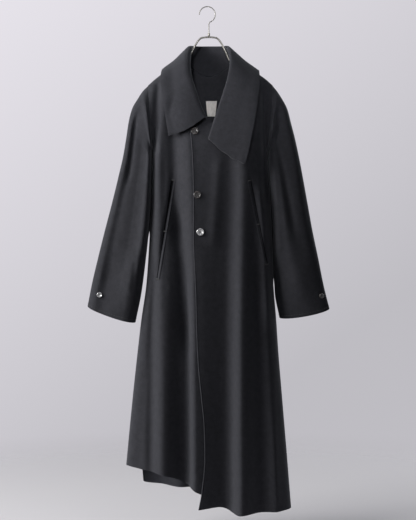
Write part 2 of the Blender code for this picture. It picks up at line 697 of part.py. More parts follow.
def button_mesh(name, radius, collection, cutters):
    """Turned button with a raised rim and sewing holes."""
    mesh = bpy.data.meshes.new(name)
    mesh.from_pydata([(p.radius * radius, 0, p.height * BUTTON_THICK) for p in BUTTON_PROFILE],
                     [(i, i + 1) for i in range(len(BUTTON_PROFILE) - 1)], [])
    turned = bpy.data.objects.new(name, mesh)
    collection.objects.link(turned)
    screw = turned.modifiers.new("turn", "SCREW")
    screw.steps = BUTTON_STEPS
    screw.render_steps = BUTTON_STEPS
    screw.use_merge_vertices = True
    screw.merge_threshold = MERGE
    screw.use_normal_calculate = True
    bm = bmesh.new()
    for i in range(BUTTON_HOLES):
        turn = 2 * math.pi * (i + 0.5) / BUTTON_HOLES
        pin = bmesh.ops.create_cone(bm, cap_ends=True, segments=BUTTON_HOLE_SIDES, depth=3 * BUTTON_THICK,
                                    radius1=BUTTON_HOLE_RADIUS, radius2=BUTTON_HOLE_RADIUS)
        reach = BUTTON_HOLE_CIRCLE * radius
        bmesh.ops.translate(bm, verts=pin["verts"], vec=(reach * math.cos(turn), reach * math.sin(turn), 0))
    pins = bpy.data.meshes.new(name + "_holes")
    bm.to_mesh(pins)
    bm.free()
    cutter = bpy.data.objects.new(name + "_holes", pins)
    cutter.hide_render = True
    cutter.display_type = "WIRE"
    cutters.objects.link(cutter)
    holes = turned.modifiers.new("holes", "BOOLEAN")
    holes.operation = "DIFFERENCE"
    holes.solver = "EXACT"
    holes.object = cutter
    graph = bpy.context.evaluated_depsgraph_get()
    finished = bpy.data.meshes.new_from_object(turned.evaluated_get(graph))
    bpy.data.objects.remove(turned, do_unlink=True)
    finished.materials.clear()
    return finished


def place_button(name, mesh, radius, place, panel, material, collection):
    """Button lying on a panel, just clear of the highest cloth under it."""
    tree = solid_tree(panel)
    middle, normal = touch(tree, place.x, place.z, 1)
    highest = 0.0
    for i in range(BUTTON_STEPS):
        turn = 2 * math.pi * i / BUTTON_STEPS
        spot, _ = touch(tree, place.x + radius * math.cos(turn), place.z + radius * math.sin(turn), 1)
        if spot is not None and (spot - middle).length < 2 * radius:
            highest = max(highest, (spot - middle).dot(normal))
    button = new_object(name, mesh.copy(), material, collection)
    button.rotation_mode = "QUATERNION"
    button.rotation_quaternion = normal.to_track_quat("Z", "Y")
    button.location = middle + normal * (highest + LAID_ON)
    return button


def make_wire(name, points, radius, material, collection):
    """Round wire along points."""
    curve = bpy.data.curves.new(name, "CURVE")
    curve.dimensions = "3D"
    curve.bevel_depth = radius
    curve.bevel_resolution = 2
    curve.use_fill_caps = True
    spline = curve.splines.new("POLY")
    spline.points.add(len(points) - 1)
    for spot, point in zip(spline.points, points):
        spot.co = (*point, 1.0)
    return new_object(name, curve, material, collection)


def hook_points():
    """Middle of the hook's wire: round the bend from its free end, then down the shank."""
    inside = HOOK_RADIUS - HOOK_WIRE
    middle = Vector((HOOK_MIDDLE, 0, -math.sqrt(inside ** 2 - HOOK_MIDDLE ** 2)))
    points = []
    for i in range(HOOK_STEPS + 1):
        turn = math.radians(HOOK_FIRST + (HOOK_LAST - HOOK_FIRST) * i / HOOK_STEPS)
        points.append(middle + Vector((math.cos(turn), 0, math.sin(turn))) * HOOK_RADIUS)
    points.append(Vector((SHANK, 0, points[-1].z - SHANK_EASE)))
    points.append(Vector((SHANK, 0, FERRULE_TOP + SEAM)))
    return points


def yoke_points():
    """Middle of the yoke's wire: up one arm, over the arch and down the other."""
    halves = {}
    for side, sign in (("right", -1), ("left", 1)):
        arm = []
        for level in ARM_LEVELS:
            seam = Vector((body_side(side, level), 0, level))
            lower = Vector((body_side(side, level - ARM_DROP), 0, level - ARM_DROP))
            slope = (lower - seam).normalized()
            arm.append(seam + Vector((-abs(slope.z) * sign, 0, -abs(slope.x))) * ARM_DROP)
        elbow = Vector((SHANK + sign * YOKE_ELBOW, 0, YOKE_ELBOW_LEVEL))
        leg = Vector((SHANK + sign * YOKE_LEG, 0, YOKE_LEG_LEVEL))
        bend = Vector((SHANK + sign * YOKE_ARCH, 0, YOKE_BEND))
        crown = Vector((SHANK + sign * YOKE_CROWN, 0, YOKE_CROWN_LEVEL))
        halves[side] = [crown, bend, leg, elbow] + arm
    top = Vector((SHANK, 0, YOKE_TOP))
    return halves["right"][::-1] + [top] + halves["left"]


def make_ferrule(material, collection):
    """Small turned sleeve where the hook's shank enters the yoke."""
    bm = bmesh.new()
    bmesh.ops.create_cone(bm, cap_ends=True, segments=FERRULE_SIDES, depth=FERRULE_TOP - FERRULE_BOTTOM,
                          radius1=FERRULE_RADIUS, radius2=FERRULE_RADIUS)
    bmesh.ops.translate(bm, verts=bm.verts, vec=(SHANK, 0, (FERRULE_TOP + FERRULE_BOTTOM) / 2))
    mesh = bpy.data.meshes.new("hanger_ferrule")
    bm.to_mesh(mesh)
    bm.free()
    return new_object("hanger_ferrule", mesh, material, collection)


def forwards(point):
    """Outer direction of what faces the front."""
    return Vector((0, -1, 0))


def backwards(point):
    """Outer direction of what faces the back."""
    return Vector((0, 1, 0))


def build():
    bare_scene()
    coat = new_collection(COLLECTION)
    cutters = new_collection("cutters")
    wool = make_material("black_wool", (0.020, 0.020, 0.023), 0.90, 0.0)
    welt_wool = make_material("welt_wool", (0.024, 0.024, 0.027), 0.88, 0.0)
    woven = make_material("label_tape", (0.42, 0.40, 0.38), 0.80, 0.0)
    horn = make_material("dark_horn", (0.018, 0.017, 0.018), 0.25, 0.0)
    chrome = make_material("chrome_wire", (0.80, 0.80, 0.82), 0.15, 1.0)

    right_rows = front_points("right", RIGHT_NECKLINE, RIGHT_FRONT_EDGE, RIGHT_HEM, right_front_y)
    left_rows = front_points("left", LEFT_NECKLINE, LEFT_FRONT_EDGE, LEFT_HEM, left_front_y)
    back_rows = back_points()
    right_front = make_shell("front_right", right_rows, CLOTH, wool, coat, forwards)
    left_front = make_shell("front_left", left_rows, CLOTH, wool, coat, forwards)
    back = make_shell("back", back_rows, CLOTH, wool, coat, backwards)

    sleeves = {}
    for side, rings, folds in (("right", RIGHT_SLEEVE, RIGHT_SLEEVE_FOLDS),
                               ("left", LEFT_SLEEVE, LEFT_SLEEVE_FOLDS)):
        rows = sleeve_points(side, rings, folds)
        cuff = sum(rows[-1][:-1], Vector()) / (len(rows[-1]) - 1)
        head = sum(rows[0][:-1], Vector()) / (len(rows[0]) - 1)
        axis = (cuff - head).normalized()
        from_axis = lambda point, head=head, axis=axis: (point - head) - axis * (point - head).dot(axis)
        sleeves[side] = make_shell("sleeve_" + side, rows, CLOTH, wool, coat, from_axis, closed=True)

    collar_rows = collar_points(right_rows, left_rows, back_rows)
    neck = Vector((0, 0, WAIST))
    make_shell("collar", collar_rows, COLLAR_CLOTH, wool, coat, lambda point: point - neck)

    make_label(back, woven, coat)
    make_welt("pocket_welt_right", RIGHT_WELT, right_front, welt_wool, coat)
    make_welt("pocket_welt_left", LEFT_WELT, left_front, welt_wool, coat)

    front_button = button_mesh("front_button", FRONT_BUTTON_RADIUS, coat, cutters)
    cuff_button = button_mesh("cuff_button", CUFF_BUTTON_RADIUS, coat, cutters)
    for number, place in enumerate(FRONT_BUTTONS, 1):
        name = "button_front_%d" % number
        place_button(name, front_button, FRONT_BUTTON_RADIUS, place, left_front, horn, coat)
    for side, place in (("right", RIGHT_CUFF_BUTTON), ("left", LEFT_CUFF_BUTTON)):
        name = "button_cuff_" + side
        place_button(name, cuff_button, CUFF_BUTTON_RADIUS, place, sleeves[side], horn, coat)

    make_wire("hanger_hook", hook_points(), HOOK_WIRE, chrome, coat)
    make_wire("hanger_yoke", yoke_points(), YOKE_WIRE, chrome, coat)
    make_ferrule(chrome, coat)


build()
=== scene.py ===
"""Looks of a long flared wool coat with a deep turned-down collar, hanging on a wire hanger.

Metres, +Z up, the front faces -Y. Left and right are the wearer's: the left front is at +X and laps over
the right one. The cloth keeps close to the solids' shapes and adds finer folds, rolled edges and sewing.
"""

import math
from collections import namedtuple

import bmesh
import bpy
import numpy as np
from mathutils import Matrix, Vector, noise
from mathutils.bvhtree import BVHTree


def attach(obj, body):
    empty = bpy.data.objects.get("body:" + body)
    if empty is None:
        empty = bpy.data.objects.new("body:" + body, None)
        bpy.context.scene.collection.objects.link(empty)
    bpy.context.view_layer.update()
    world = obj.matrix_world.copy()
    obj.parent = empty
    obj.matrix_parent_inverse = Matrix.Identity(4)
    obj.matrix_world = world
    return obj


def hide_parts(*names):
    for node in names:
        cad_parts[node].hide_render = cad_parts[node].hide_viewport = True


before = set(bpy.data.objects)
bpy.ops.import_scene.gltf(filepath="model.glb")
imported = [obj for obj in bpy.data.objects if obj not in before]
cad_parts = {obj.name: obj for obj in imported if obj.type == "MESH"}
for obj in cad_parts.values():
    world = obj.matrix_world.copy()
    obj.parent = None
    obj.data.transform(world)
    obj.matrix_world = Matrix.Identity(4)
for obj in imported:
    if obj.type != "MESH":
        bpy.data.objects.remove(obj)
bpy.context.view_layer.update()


def rows_of(kind, *rows):
    """Rows of a table with named columns."""
    return [kind(*row) for row in rows]


SIDES = ("right", "left")
OUTWARDS = {"right": -1, "left": 1}

# Cloth
WOOL = 0.0018            # wall of the wool cloth
COLLAR_WOOL = 0.0030     # wall of the collar, two cloths sewn together
EDGE_ROUND = 0.0006      # rounding of a cut edge
EDGE_SEGMENTS = 3
EDGE_ANGLE = 60          # degrees; sharper edges are rounded
MERGE = 0.00001          # corners closer than this are one
SEAM = 0.0003            # gap where two pieces are sewn together
LAP_LIFT = 0.005         # how far the left front stands off the right one where it laps it
LAP_START = 0.080
LAP_END = 0.015
ROLL_RADIUS = 0.0023     # roll of the left front's folded edge
ROLL_ROOM = 1.5          # radii of the roll that the flat cloth keeps off that edge
FACING = 0.022           # width of the facing that is folded behind that edge

# Cut pieces: the rectangle that holds each flat piece, and its own area
Cut = namedtuple("Cut", "width length area")
RIGHT_FRONT_CUT = Cut(0.390, 1.290, 0.314)
LEFT_FRONT_CUT = Cut(0.410, 1.420, 0.389)

# Levels
NECK_POINT = -0.142
SHOULDER_POINT = -0.229
UNDERARM = -0.430
NECK_FADE = -0.500
WAIST = -0.700
HEM_LEVEL = -1.449
ARMHOLE_FRONT = 0.052
ARMHOLE_BACK = 0.051
ARMHOLE_MIDDLE = (SHOULDER_POINT + UNDERARM) / 2
ARMHOLE_HALF = (SHOULDER_POINT - UNDERARM) / 2

# Rows and columns of the cloth
NECK_ROWS = 24
ARMHOLE_ROWS = 48
CHEST_ROWS = 60
SKIRT_ROWS = 140
PANEL_COLUMNS = 112
SLEEVE_COLUMNS = 96
SLEEVE_ROWS = 130
ROLL_COLUMNS = 6
FACING_COLUMNS = 4
HALVINGS = 40            # steps by which a neckline's level is found

Shoulder = namedtuple("Shoulder", "level right left")
SHOULDERS = rows_of(
    Shoulder, (NECK_POINT, -0.07, 0.074), (-0.17, -0.105, 0.111), (-0.196, -0.138, 0.146),
    (-0.212, -0.158, 0.168), (SHOULDER_POINT, -0.176, 0.186),
)

# Body sections: side places, reach of front and back, squareness (2 for an ellipse)
Section = namedtuple("Section", "level right left front back square")
SECTIONS = rows_of(
    Section,
    (NECK_POINT, -0.182, 0.192, 0.034, 0.04, 2.2),
    (SHOULDER_POINT, -0.176, 0.186, 0.056, 0.058, 2.8),
    (-0.33, -0.168, 0.177, 0.071, 0.069, 4.0),
    (UNDERARM, -0.16, 0.169, 0.079, 0.074, 4.0),
    (-0.56, -0.163, 0.176, 0.083, 0.08, 3.4),
    (-0.65, -0.17, 0.181, 0.085, 0.085, 3.0),
    (-0.8, -0.1805, 0.1875, 0.087, 0.092, 2.6),
    (-0.91, -0.1958, 0.1962, 0.088, 0.098, 2.4),
    (-1.0, -0.2063, 0.2022, 0.089, 0.103, 2.3),
    (-1.14, -0.2213, 0.2138, 0.09, 0.11, 2.2),
    (-1.325, -0.239, 0.2292, 0.09, 0.118, 2.2),
    (HEM_LEVEL, -0.25, 0.239, 0.09, 0.122, 2.2),
)

Line = namedtuple("Line", "level across")
RIGHT_NECKLINE = rows_of(
    Line, (NECK_POINT, -0.07), (-0.2, -0.068), (-0.25, -0.054), (-0.29, -0.038), (-0.325, -0.022),
    (-0.345, 0.012),
)
RIGHT_FRONT_EDGE = rows_of(Line, (-0.345, 0.012), (-0.9, 0.014), (-1.2, 0.03), (HEM_LEVEL, 0.03))
LEFT_NECKLINE = rows_of(
    Line, (NECK_POINT, 0.074), (-0.2, 0.071), (-0.25, 0.06), (-0.3, 0.045), (-0.335, 0.027),
    (-0.349, -0.01), (-0.359, -0.054),
)
LEFT_FRONT_EDGE = rows_of(
    Line, (-0.359, -0.054), (-0.422, -0.048), (-0.549, -0.044), (-0.657, -0.044), (-0.846, -0.037),
    (-0.903, -0.036), (-1.024, -0.031), (-1.129, -0.021), (-1.205, -0.014), (-1.29, -0.012),
    (-1.394, -0.021), (HEM_LEVEL, -0.031),
)
BACK_NECKLINE = rows_of(
    Line, (NECK_POINT, -0.07), (-0.172, -0.05), (-0.195, 0.001), (-0.172, 0.053), (NECK_POINT, 0.074),
)

Hem = namedtuple("Hem", "across level")
RIGHT_HEM = rows_of(
    Hem, (-0.24, -1.325), (-0.184, -1.335), (-0.124, -1.347), (-0.066, -1.373), (-0.025, -1.396),
    (0.03, -1.41),
)
LEFT_HEM = rows_of(
    Hem, (-0.031, -1.44), (0.025, -1.437), (0.085, -1.453), (0.13, -1.452), (0.239, HEM_LEVEL),
)
BACK_HEM = rows_of(
    Hem, (-0.24, -1.325), (-0.206, -1.337), (-0.197, -1.388), (-0.13, -1.404), (-0.05, -1.412),
    (0.1, -1.432), (0.239, HEM_LEVEL),
)

# Broad folds: place across and how far each stands proud, at the chest and at the hem
Fold = namedtuple("Fold", "high chest low hem")
FRONT_FOLDS = rows_of(
    Fold, (-0.184, 0.0, -0.184, -0.013), (-0.15, 0.004, -0.163, -0.012), (-0.122, -0.009, -0.134, 0.007),
    (-0.07, -0.003, -0.068, -0.048), (-0.044, 0.004, -0.04, 0.0), (0.058, -0.003, 0.05, -0.038),
    (0.099, 0.011, 0.091, 0.028), (0.15, -0.006, 0.15, -0.01), (0.192, 0.0, 0.192, 0.008),
)
BACK_FOLDS = rows_of(
    Fold, (-0.2, 0.0, -0.2, -0.012), (-0.145, 0.004, -0.145, 0.014), (-0.085, -0.006, -0.085, -0.026),
    (-0.025, 0.004, -0.025, 0.016), (0.035, -0.004, 0.035, -0.022), (0.095, 0.005, 0.095, 0.02),
    (0.15, -0.005, 0.15, -0.018), (0.2, 0.0, 0.2, 0.006),
)
Growth = namedtuple("Growth", "level chest hem")
FOLD_GROWTH = rows_of(
    Growth, (-0.33, 0.0, 0.0), (-0.48, 1.0, 0.04), (-0.65, 0.85, 0.22), (-0.8, 0.45, 0.45),
    (-1.0, 0.1, 0.68), (-1.2, 0.0, 0.86), (HEM_LEVEL, 0.0, 1.0),
)
SIDE_CROWDING = 0.8      # how much closer the columns stand at the side seams
RIM_SHARE = 0.12         # share of a half panel over which it runs out to the armhole's rim
ARMHOLE_FLAT = 0.8       # share of the rim's depth from which that run is straight
FOLD_SIDE_FADE = 0.18    # share of a half panel over which folds die out at the side seam

# Creases: start and end seen from the front, half width, depth (less than 0 for a ridge), and sharpness
Crease = namedtuple("Crease", "x0 z0 x1 z1 width depth sharp", defaults=(0.0,))
FRONT_CREASES = rows_of(
    Crease, (-0.086, -0.6, -0.064, -0.98, 0.014, 0.011),
    (-0.0625, -0.86, -0.0585, -1.42, 0.008, 0.009, 1.0), (-0.1034, -0.29, -0.09, -0.68, 0.019, 0.015),
    (-0.1, -0.64, -0.082, -0.96, 0.021, 0.004), (-0.158, -0.74, -0.166, -1.37, 0.0135, 0.009),
    (0.03, -0.45, 0.012, -0.69, 0.016, -0.005), (-0.061, -0.35, -0.055, -0.72, 0.016, -0.006),
    (-0.047, -0.76, -0.042, -1.4, 0.01, -0.004), (0.149, -0.52, 0.175, -0.9, 0.02, -0.022),
    (0.162, -0.84, 0.19, -1.44, 0.016, -0.009), (0.078, -0.47, 0.072, -0.9, 0.012, 0.002),
    (-0.142, -0.792, -0.116, -0.812, 0.006, 0.0025), (-0.103, -0.498, -0.148, -0.794, 0.005, 0.0045),
    (0.118, -0.502, 0.168, -0.751, 0.005, 0.004),
)
ARMHOLE_CREASES = rows_of(
    Crease, (-0.144, -0.22, -0.157, -0.42, 0.01, 0.011), (-0.16, -0.4, -0.164, -0.64, 0.007, 0.002),
    (0.158, -0.235, 0.161, -0.56, 0.01, 0.014),
)
ARMHOLE_FADE = 0.05
BACK_CREASES = rows_of(
    Crease, (-0.07, -0.3, -0.04, -0.46, 0.018, 0.003), (0.075, -0.3, 0.05, -0.48, 0.02, 0.003),
    (-0.09, -0.78, -0.088, -1.38, 0.013, 0.005), (0.034, -0.7, 0.036, -1.4, 0.014, 0.005),
    (0.15, -0.82, 0.156, -1.42, 0.014, 0.004),
)

# Sleeve rings: outer and inner points seen from the front, half depth, how far forward
Ring = namedtuple("Ring", "outer_x outer_z inner_x inner_z depth forward")
RIGHT_SLEEVE = rows_of(
    Ring,
    (-0.19, -0.243, -0.162, -0.433, 0.0565, 0.0),
    (-0.206, -0.268, -0.163, -0.437, 0.058, 0.0),
    (-0.222, -0.298, -0.164, -0.443, 0.059, 0.0),
    (-0.231, -0.334, -0.1645, -0.452, 0.06, 0.001),
    (-0.238, -0.38, -0.165, -0.468, 0.06, 0.002),
    (-0.247, -0.434, -0.166, -0.495, 0.058, 0.004),
    (-0.262, -0.498, -0.1675, -0.538, 0.055, 0.006),
    (-0.28, -0.57, -0.17, -0.594, 0.052, 0.008),
    (-0.3, -0.647, -0.174, -0.66, 0.048, 0.01),
    (-0.32, -0.728, -0.1828, -0.742, 0.043, 0.012),
    (-0.337, -0.8, -0.1942, -0.828, 0.037, 0.012),
    (-0.35, -0.866, -0.2112, -0.912, 0.031, 0.012),
)
LEFT_SLEEVE = rows_of(
    Ring,
    (0.2, -0.247, 0.171, -0.433, 0.0565, 0.0),
    (0.215, -0.272, 0.172, -0.437, 0.058, 0.0),
    (0.228, -0.3, 0.173, -0.443, 0.059, 0.0),
    (0.237, -0.335, 0.1738, -0.452, 0.06, 0.001),
    (0.249, -0.382, 0.1748, -0.468, 0.06, 0.002),
    (0.261, -0.438, 0.1765, -0.495, 0.058, 0.004),
    (0.273, -0.5, 0.179, -0.538, 0.055, 0.006),
    (0.286, -0.57, 0.182, -0.594, 0.052, 0.008),
    (0.3, -0.648, 0.1855, -0.66, 0.048, 0.01),
    (0.317, -0.73, 0.188, -0.745, 0.043, 0.012),
    (0.332, -0.805, 0.1906, -0.825, 0.037, 0.012),
    (0.349, -0.873, 0.2042, -0.899, 0.031, 0.012),
)
# Sleeve folds: turn in degrees from the outer edge by the front, how proud above and below the elbow
SleeveFold = namedtuple("SleeveFold", "turn high low")
RIGHT_SLEEVE_FOLDS = rows_of(
    SleeveFold, (0, 0.0, 0.0), (40, -0.008, -0.003), (68, -0.018, -0.017), (96, -0.017, -0.01),
    (110, -0.012, 0.0), (123, -0.001, 0.013), (137, 0.021, 0.022), (148, 0.036, 0.015),
    (160, 0.042, 0.008), (172, 0.038, 0.002), (180, 0.0, 0.0), (235, -0.005, -0.003), (290, 0.003, 0.002),
    (360, 0.0, 0.0),
)
LEFT_SLEEVE_FOLDS = rows_of(
    SleeveFold, (0, 0.0, 0.0), (40, 0.002, 0.002), (80, -0.002, 0.004), (120, 0.008, 0.002),
    (150, 0.034, -0.008), (166, 0.036, -0.01), (180, 0.0, 0.0), (240, -0.004, -0.003),
    (300, 0.003, 0.002), (360, 0.0, 0.0),
)
ELBOW = 0.62             # share of the length where the folds start to change
ELBOW_RUN = 0.22
SLEEVE_FOLD_RISE = {"right": 0.14, "left": 0.07}  # share over which they grow below the armhole
SLEEVE_FOLD_FALL = 0.20  # share of the length over which the folds die out towards the cuff
SLEEVE_FOLD_LEFT = 0.45  # share of the folds that is left at the cuff
HEAD_RIDGE = 0.008       # ridge along the armhole seam, where the seam allowance lies in the sleeve
HEAD_BEHIND = 0.3        # share of that ridge on the back of the seam
LOW_RIDGE = {"right": 0.0, "left": 1.2}  # share by which it is prouder low in front
LOW_RIDGE_START = 70.0   # degrees from the outer edge by the front
LOW_RIDGE_RUN = 45.0
HEAD_PLACE = 0.018
HEAD_WIDTH = 0.015
HEAD_SQUARE = 0.55       # how flat the collapsed sleeve head lies by its outer edge (1 for an ellipse)
HEAD_SQUARE_RISE = 0.08
HEAD_SQUARE_END = 0.55
HEAD_SQUARE_FALL = 0.30
LEAST_SINE = 0.001       # keeps that flatness finite at the edge itself
CONTACT = 0.00045        # gap where the sleeve lies against the body
CONTACT_END = {"right": -0.638, "left": -0.780}
CONTACT_EASE = 0.035
UNDERARM_EASE = 0.006
CONTACT_SPREAD = 45.0    # degrees either side of the inner edge that are drawn to the body
OVERHANG_SPREAD = 60     # degrees that draw back from the body's bulge
CLEAR_SPREAD = 90        # degrees that are kept out of the body
OVERHANG = 0.0026        # how far the body's front bulges over that gap, and the sleeve draws back from it
OVERHANG_REACH = 0.026
OVERHANG_BROAD = 0.010

# Sleeve creases: turn from the outer edge by the front and share of the length, at both ends
SleeveCrease = namedtuple("SleeveCrease", "turn0 place0 turn1 place1 width depth")
RIGHT_SLEEVE_CREASES = rows_of(
    SleeveCrease, (58, 0.07, 66, 0.34, 0.011, 0.006), (58, 0.3, 56, 0.98, 0.014, 0.002),
    (118, 0.7, 98, 1.0, 0.022, -0.003), (128, 0.73, 134, 0.87, 0.01, 0.004),
    (134, 0.8, 140, 1.05, 0.014, 0.003), (235, 0.2, 240, 0.8, 0.014, 0.004),
    (300, 0.3, 290, 0.6, 0.014, 0.003),
)
LEFT_SLEEVE_CREASES = rows_of(
    SleeveCrease, (70, 0.02, 98, 0.09, 0.01, 0.004), (106, 0.1, 90, 0.58, 0.013, 0.006),
    (138, 0.22, 94, 0.92, 0.032, -0.007), (176, 0.42, 140, 1.0, 0.018, 0.007),
    (30, 0.2, 34, 0.6, 0.012, 0.003), (240, 0.2, 236, 0.8, 0.014, 0.004),
    (295, 0.25, 300, 0.65, 0.014, 0.003),
)
SLEEVES = {
    "right": (RIGHT_SLEEVE, RIGHT_SLEEVE_FOLDS, RIGHT_SLEEVE_CREASES),
    "left": (LEFT_SLEEVE, LEFT_SLEEVE_FOLDS, LEFT_SLEEVE_CREASES),
}
CUFF_BOW = 0.009         # how much lower the cuff hangs in front
CUFF_BOW_START = 0.82
SLEEVE_RADIUS = 0.070    # mean radius by which the widths of sleeve creases are measured
SLEEVE_CREASE_FADE = 0.3
SLEEVE_CREASE_START = 0.06  # share of the length by the armhole over which creases grow

# Collar: share along the neck seam from its right end, fold line and outer edge
Wing = namedtuple("Wing", "share fold edge")
COLLAR = rows_of(
    Wing,
    (0.0, (-0.005, -0.086, -0.329), (-0.113, -0.065, -0.381)),
    (0.06, (-0.019, -0.081, -0.298), (-0.119, -0.067, -0.345)),
    (0.13, (-0.033, -0.074, -0.254), (-0.125, -0.065, -0.302)),
    (0.21, (-0.048, -0.063, -0.203), (-0.13, -0.053, -0.256)),
    (0.26, (-0.052, -0.05, -0.163), (-0.132, -0.041, -0.216)),
    (0.316, (-0.049, 0.0, -0.114), (-0.131, 0.002, -0.183)),
    (0.4, (-0.034, 0.047, -0.105), (-0.094, 0.072, -0.212)),
    (0.49, (0.001, 0.062, -0.102), (0.002, 0.086, -0.222)),
    (0.58, (0.037, 0.047, -0.105), (0.099, 0.072, -0.212)),
    (0.664, (0.052, 0.0, -0.114), (0.143, 0.002, -0.186)),
    (0.712, (0.06, -0.05, -0.163), (0.144, -0.054, -0.232)),
    (0.77, (0.055, -0.064, -0.203), (0.14, -0.076, -0.277)),
    (0.84, (0.041, -0.077, -0.254), (0.131, -0.094, -0.334)),
    (0.915, (0.024, -0.087, -0.307), (0.119, -0.107, -0.396)),
    (0.965, (0.007, -0.094, -0.359), (0.11, -0.115, -0.436)),
    (1.0, (-0.002, -0.098, -0.391), (0.103, -0.119, -0.465)),
)
COLLAR_RIGHT_END = -0.022
COLLAR_LEFT_END = 0.027
COLLAR_SEAM = 0.0008
COLLAR_COLUMNS = 170
COLLAR_SMOOTHING = 6
ROLL = 0.006
SOFT_ROLL = 0.009        # how much rounder the right wing rolls over
STAND_ROWS = 14
ROLL_ROWS = 10
FALL_ROWS = 34
FALL_CLEARANCE = 0.0060
CLEARING_STEPS = 6
END_BOW = 0.009
END_BOW_REACH = 0.12
WING_BOW = 0.004         # how far a wing bows out between its fold and its edge
RIGHT_BOW = 0.014        # the same at the lower ends of the right wing and of the left
LEFT_BOW = 0.002
EDGE_FLIP = 0.005        # how far the outer edge turns up, the right wing's, and that wing's at its tip
RIGHT_FLIP = 0.016
TIP_FLIP = 0.007
EDGE_FLIP_START = 0.50   # share of a wing's width where its edge starts to turn up, and at the right tip
TIP_FLIP_START = 0.82
RUN_STEP = 0.02
# Shares along the neck seam where a feature starts or ends, and the run over which it does
SOFT_ROLL_START = (-0.05, 0.12)
SOFT_ROLL_END = (0.34, 0.08)
LOW_BOW_START = (0.25, 0.2)  # counted from the middle
RIGHT_BOW_END = (0.30, 0.09)
LEFT_BOW_START = (0.68, 0.09)
RIGHT_FLIP_END = (0.32, 0.08)
TIP_FLIP_END = (0.18, 0.10)
EDGE_WAVE = 0.0024       # unevenness of the wings' lower edges
EDGE_WAVES = (9, 4, 3.5)     # waves across a wing and along the seam, and a seed
EDGE_WAVE_REACH = 0.06
TIP_WRINKLE = 0.0012     # small wrinkles by the wings' tips
TIP_WRINKLES = (14, 45, 8.5)
TIP_WRINKLE_START = (0.55, 0.35)  # share of a wing's width, and the run
TIP_WRINKLE_REACH = 0.14
COLLAR_ROUND = 0.0013

CREASE_FADE = 0.25       # share of a crease over which each end dies out
SHARP_FALL = 1.6         # how steep a sharp crease's flanks are
KEEN = 0.15              # rounding of a sharp crease's bottom as a share of its half width

# Label, sewn inside the back below the neck
LABEL_MIDDLE = 0.008
LABEL_TOP = -0.264
LABEL_WIDTH = 0.033
LABEL_HEIGHT = 0.045
LABEL_TAPER = 0.28       # how much narrower its lower end hangs
LABEL_CLOTH = 0.0008
LABEL_BOW = 0.0030
LABEL_BOW_TOP = 0.4      # share of that bow at its top
LABEL_GRID = 30

# Pockets: top and bottom of each slit seen from the front, the side of it where the welt's lip lies, how
# wide the gaping mouth's strip of painted shade spreads and how proud the lip stands at top and bottom, and
# the welt's cut
Pocket = namedtuple("Pocket", "top bottom lip gape rise cut")
POCKETS = {
    "right": Pocket((-0.104, 0, -0.505), (-0.147, 0, -0.787), 1, (0.95, 0.45), (0.45, 1.0),
                    Cut(0.010, 0.286, 0.00275)),
    "left": Pocket((0.119, 0, -0.508), (0.167, 0, -0.745), -1, (0.30, 0.28), (0.35, 0.50),
                   Cut(0.010, 0.243, 0.00234)),
}
POCKET_ROWS = 90
# Profiles across a slit: place beside it, and height over the cloth
# the mouth is a thin strip just over the cloth, coloured near-black as painted shade
MOUTH_PROFILE = [(-0.0040, 0.0003), (-0.0020, 0.0005), (0.0, 0.0006), (0.0018, 0.0006), (0.0036, 0.0005)]
MOUTH_RISE = (1.0, 1.0)
LIP_WIDTH = (1.0, 0.8)   # share of its profile's width at top and bottom
LIP_PROFILE = [
    (0.0016, 0.0008), (0.0030, 0.0009), (0.0045, 0.0010), (0.0058, 0.0013), (0.0067, 0.0021),
    (0.0075, 0.0026), (0.0084, 0.0024), (0.0094, 0.0015), (0.0104, 0.0008),
]
WELT_WALL = 0.0005
TACK_PLACES = (0.0, 0.52, 1.0)  # shares of the slit's length
TACK_LENGTH = 0.0105
TACK_SHIFT = 0.0026      # towards the lip
TACK_POINTS = 7
TACK_FOOT = 0.0012       # height of the threads at their ends, and their rise over the lip
TACK_RISE = 0.0022
TACK_THREADS = 5
TACK_PITCH = 0.0006
THREAD = 0.00035         # radius of a sewing thread
THREAD_SIDES = 8

# Cuff stitches
CUFF_STITCH_RISE = 0.010
STITCH_LENGTH = 0.0042
STITCH_PITCH = 0.0078
STITCH_THREAD = 0.0006
STITCH_SIDES = 6
STITCH_LIFT = 0.4        # share of the thread's radius that its middle stands off the cloth

# Buttons: place seen from the front
Place = namedtuple("Place", "x z")
FRONT_BUTTONS = rows_of(Place, (-0.0395, -0.368), (-0.0325, -0.549), (-0.024, -0.654))
CUFF_BUTTONS = {"right": Place(-0.314, -0.833), "left": Place(0.323, -0.836)}
FRONT_BUTTON_RADIUS = 0.0108
CUFF_BUTTON_RADIUS = 0.0080
BUTTON_THICK = 0.0036
BUTTON_STEPS = 64
BUTTON_HOLES = 4
BUTTON_HOLE_RADIUS = 0.0010
BUTTON_HOLE_SIDES = 20
BUTTON_HOLE_CIRCLE = 0.26
BUTTON_LIFT = 0.0006
BUTTON_SEAT = 0.55       # share of the thickness at the sunk middle
RIM_SPOTS = 24           # places round the rim that are kept off the cloth
LOOP_POINTS = 7
LOOP_SHIFT = 0.64        # thread radii between a loop and the line through two holes
LOOP_RISE = 0.9          # thread radii over the seat, and their dip into the holes
LOOP_DIP = 2.6
LOOP_SQUARE = 6          # how squarely a loop turns into the holes
# buttons that take the glossy horn; the others take a duller, darker copy of the same horn, painted shade
# for buttons that catch less light
BRIGHTER_LIT_BUTTONS = ("button_cuff_right", "button_front_3")  # the others are duller
# Turned profile: shares of the button's radius and of its thickness
BUTTON_PROFILE = [
    (0.0, 0.0), (0.78, 0.0), (0.90, 0.08), (0.97, 0.26), (1.0, 0.50), (0.98, 0.74), (0.93, 0.91),
    (0.86, 0.99), (0.80, 1.0), (0.74, 0.96), (0.67, 0.82), (0.61, 0.68), (0.54, 0.60), (0.44, 0.56),
    (0.0, BUTTON_SEAT),
]

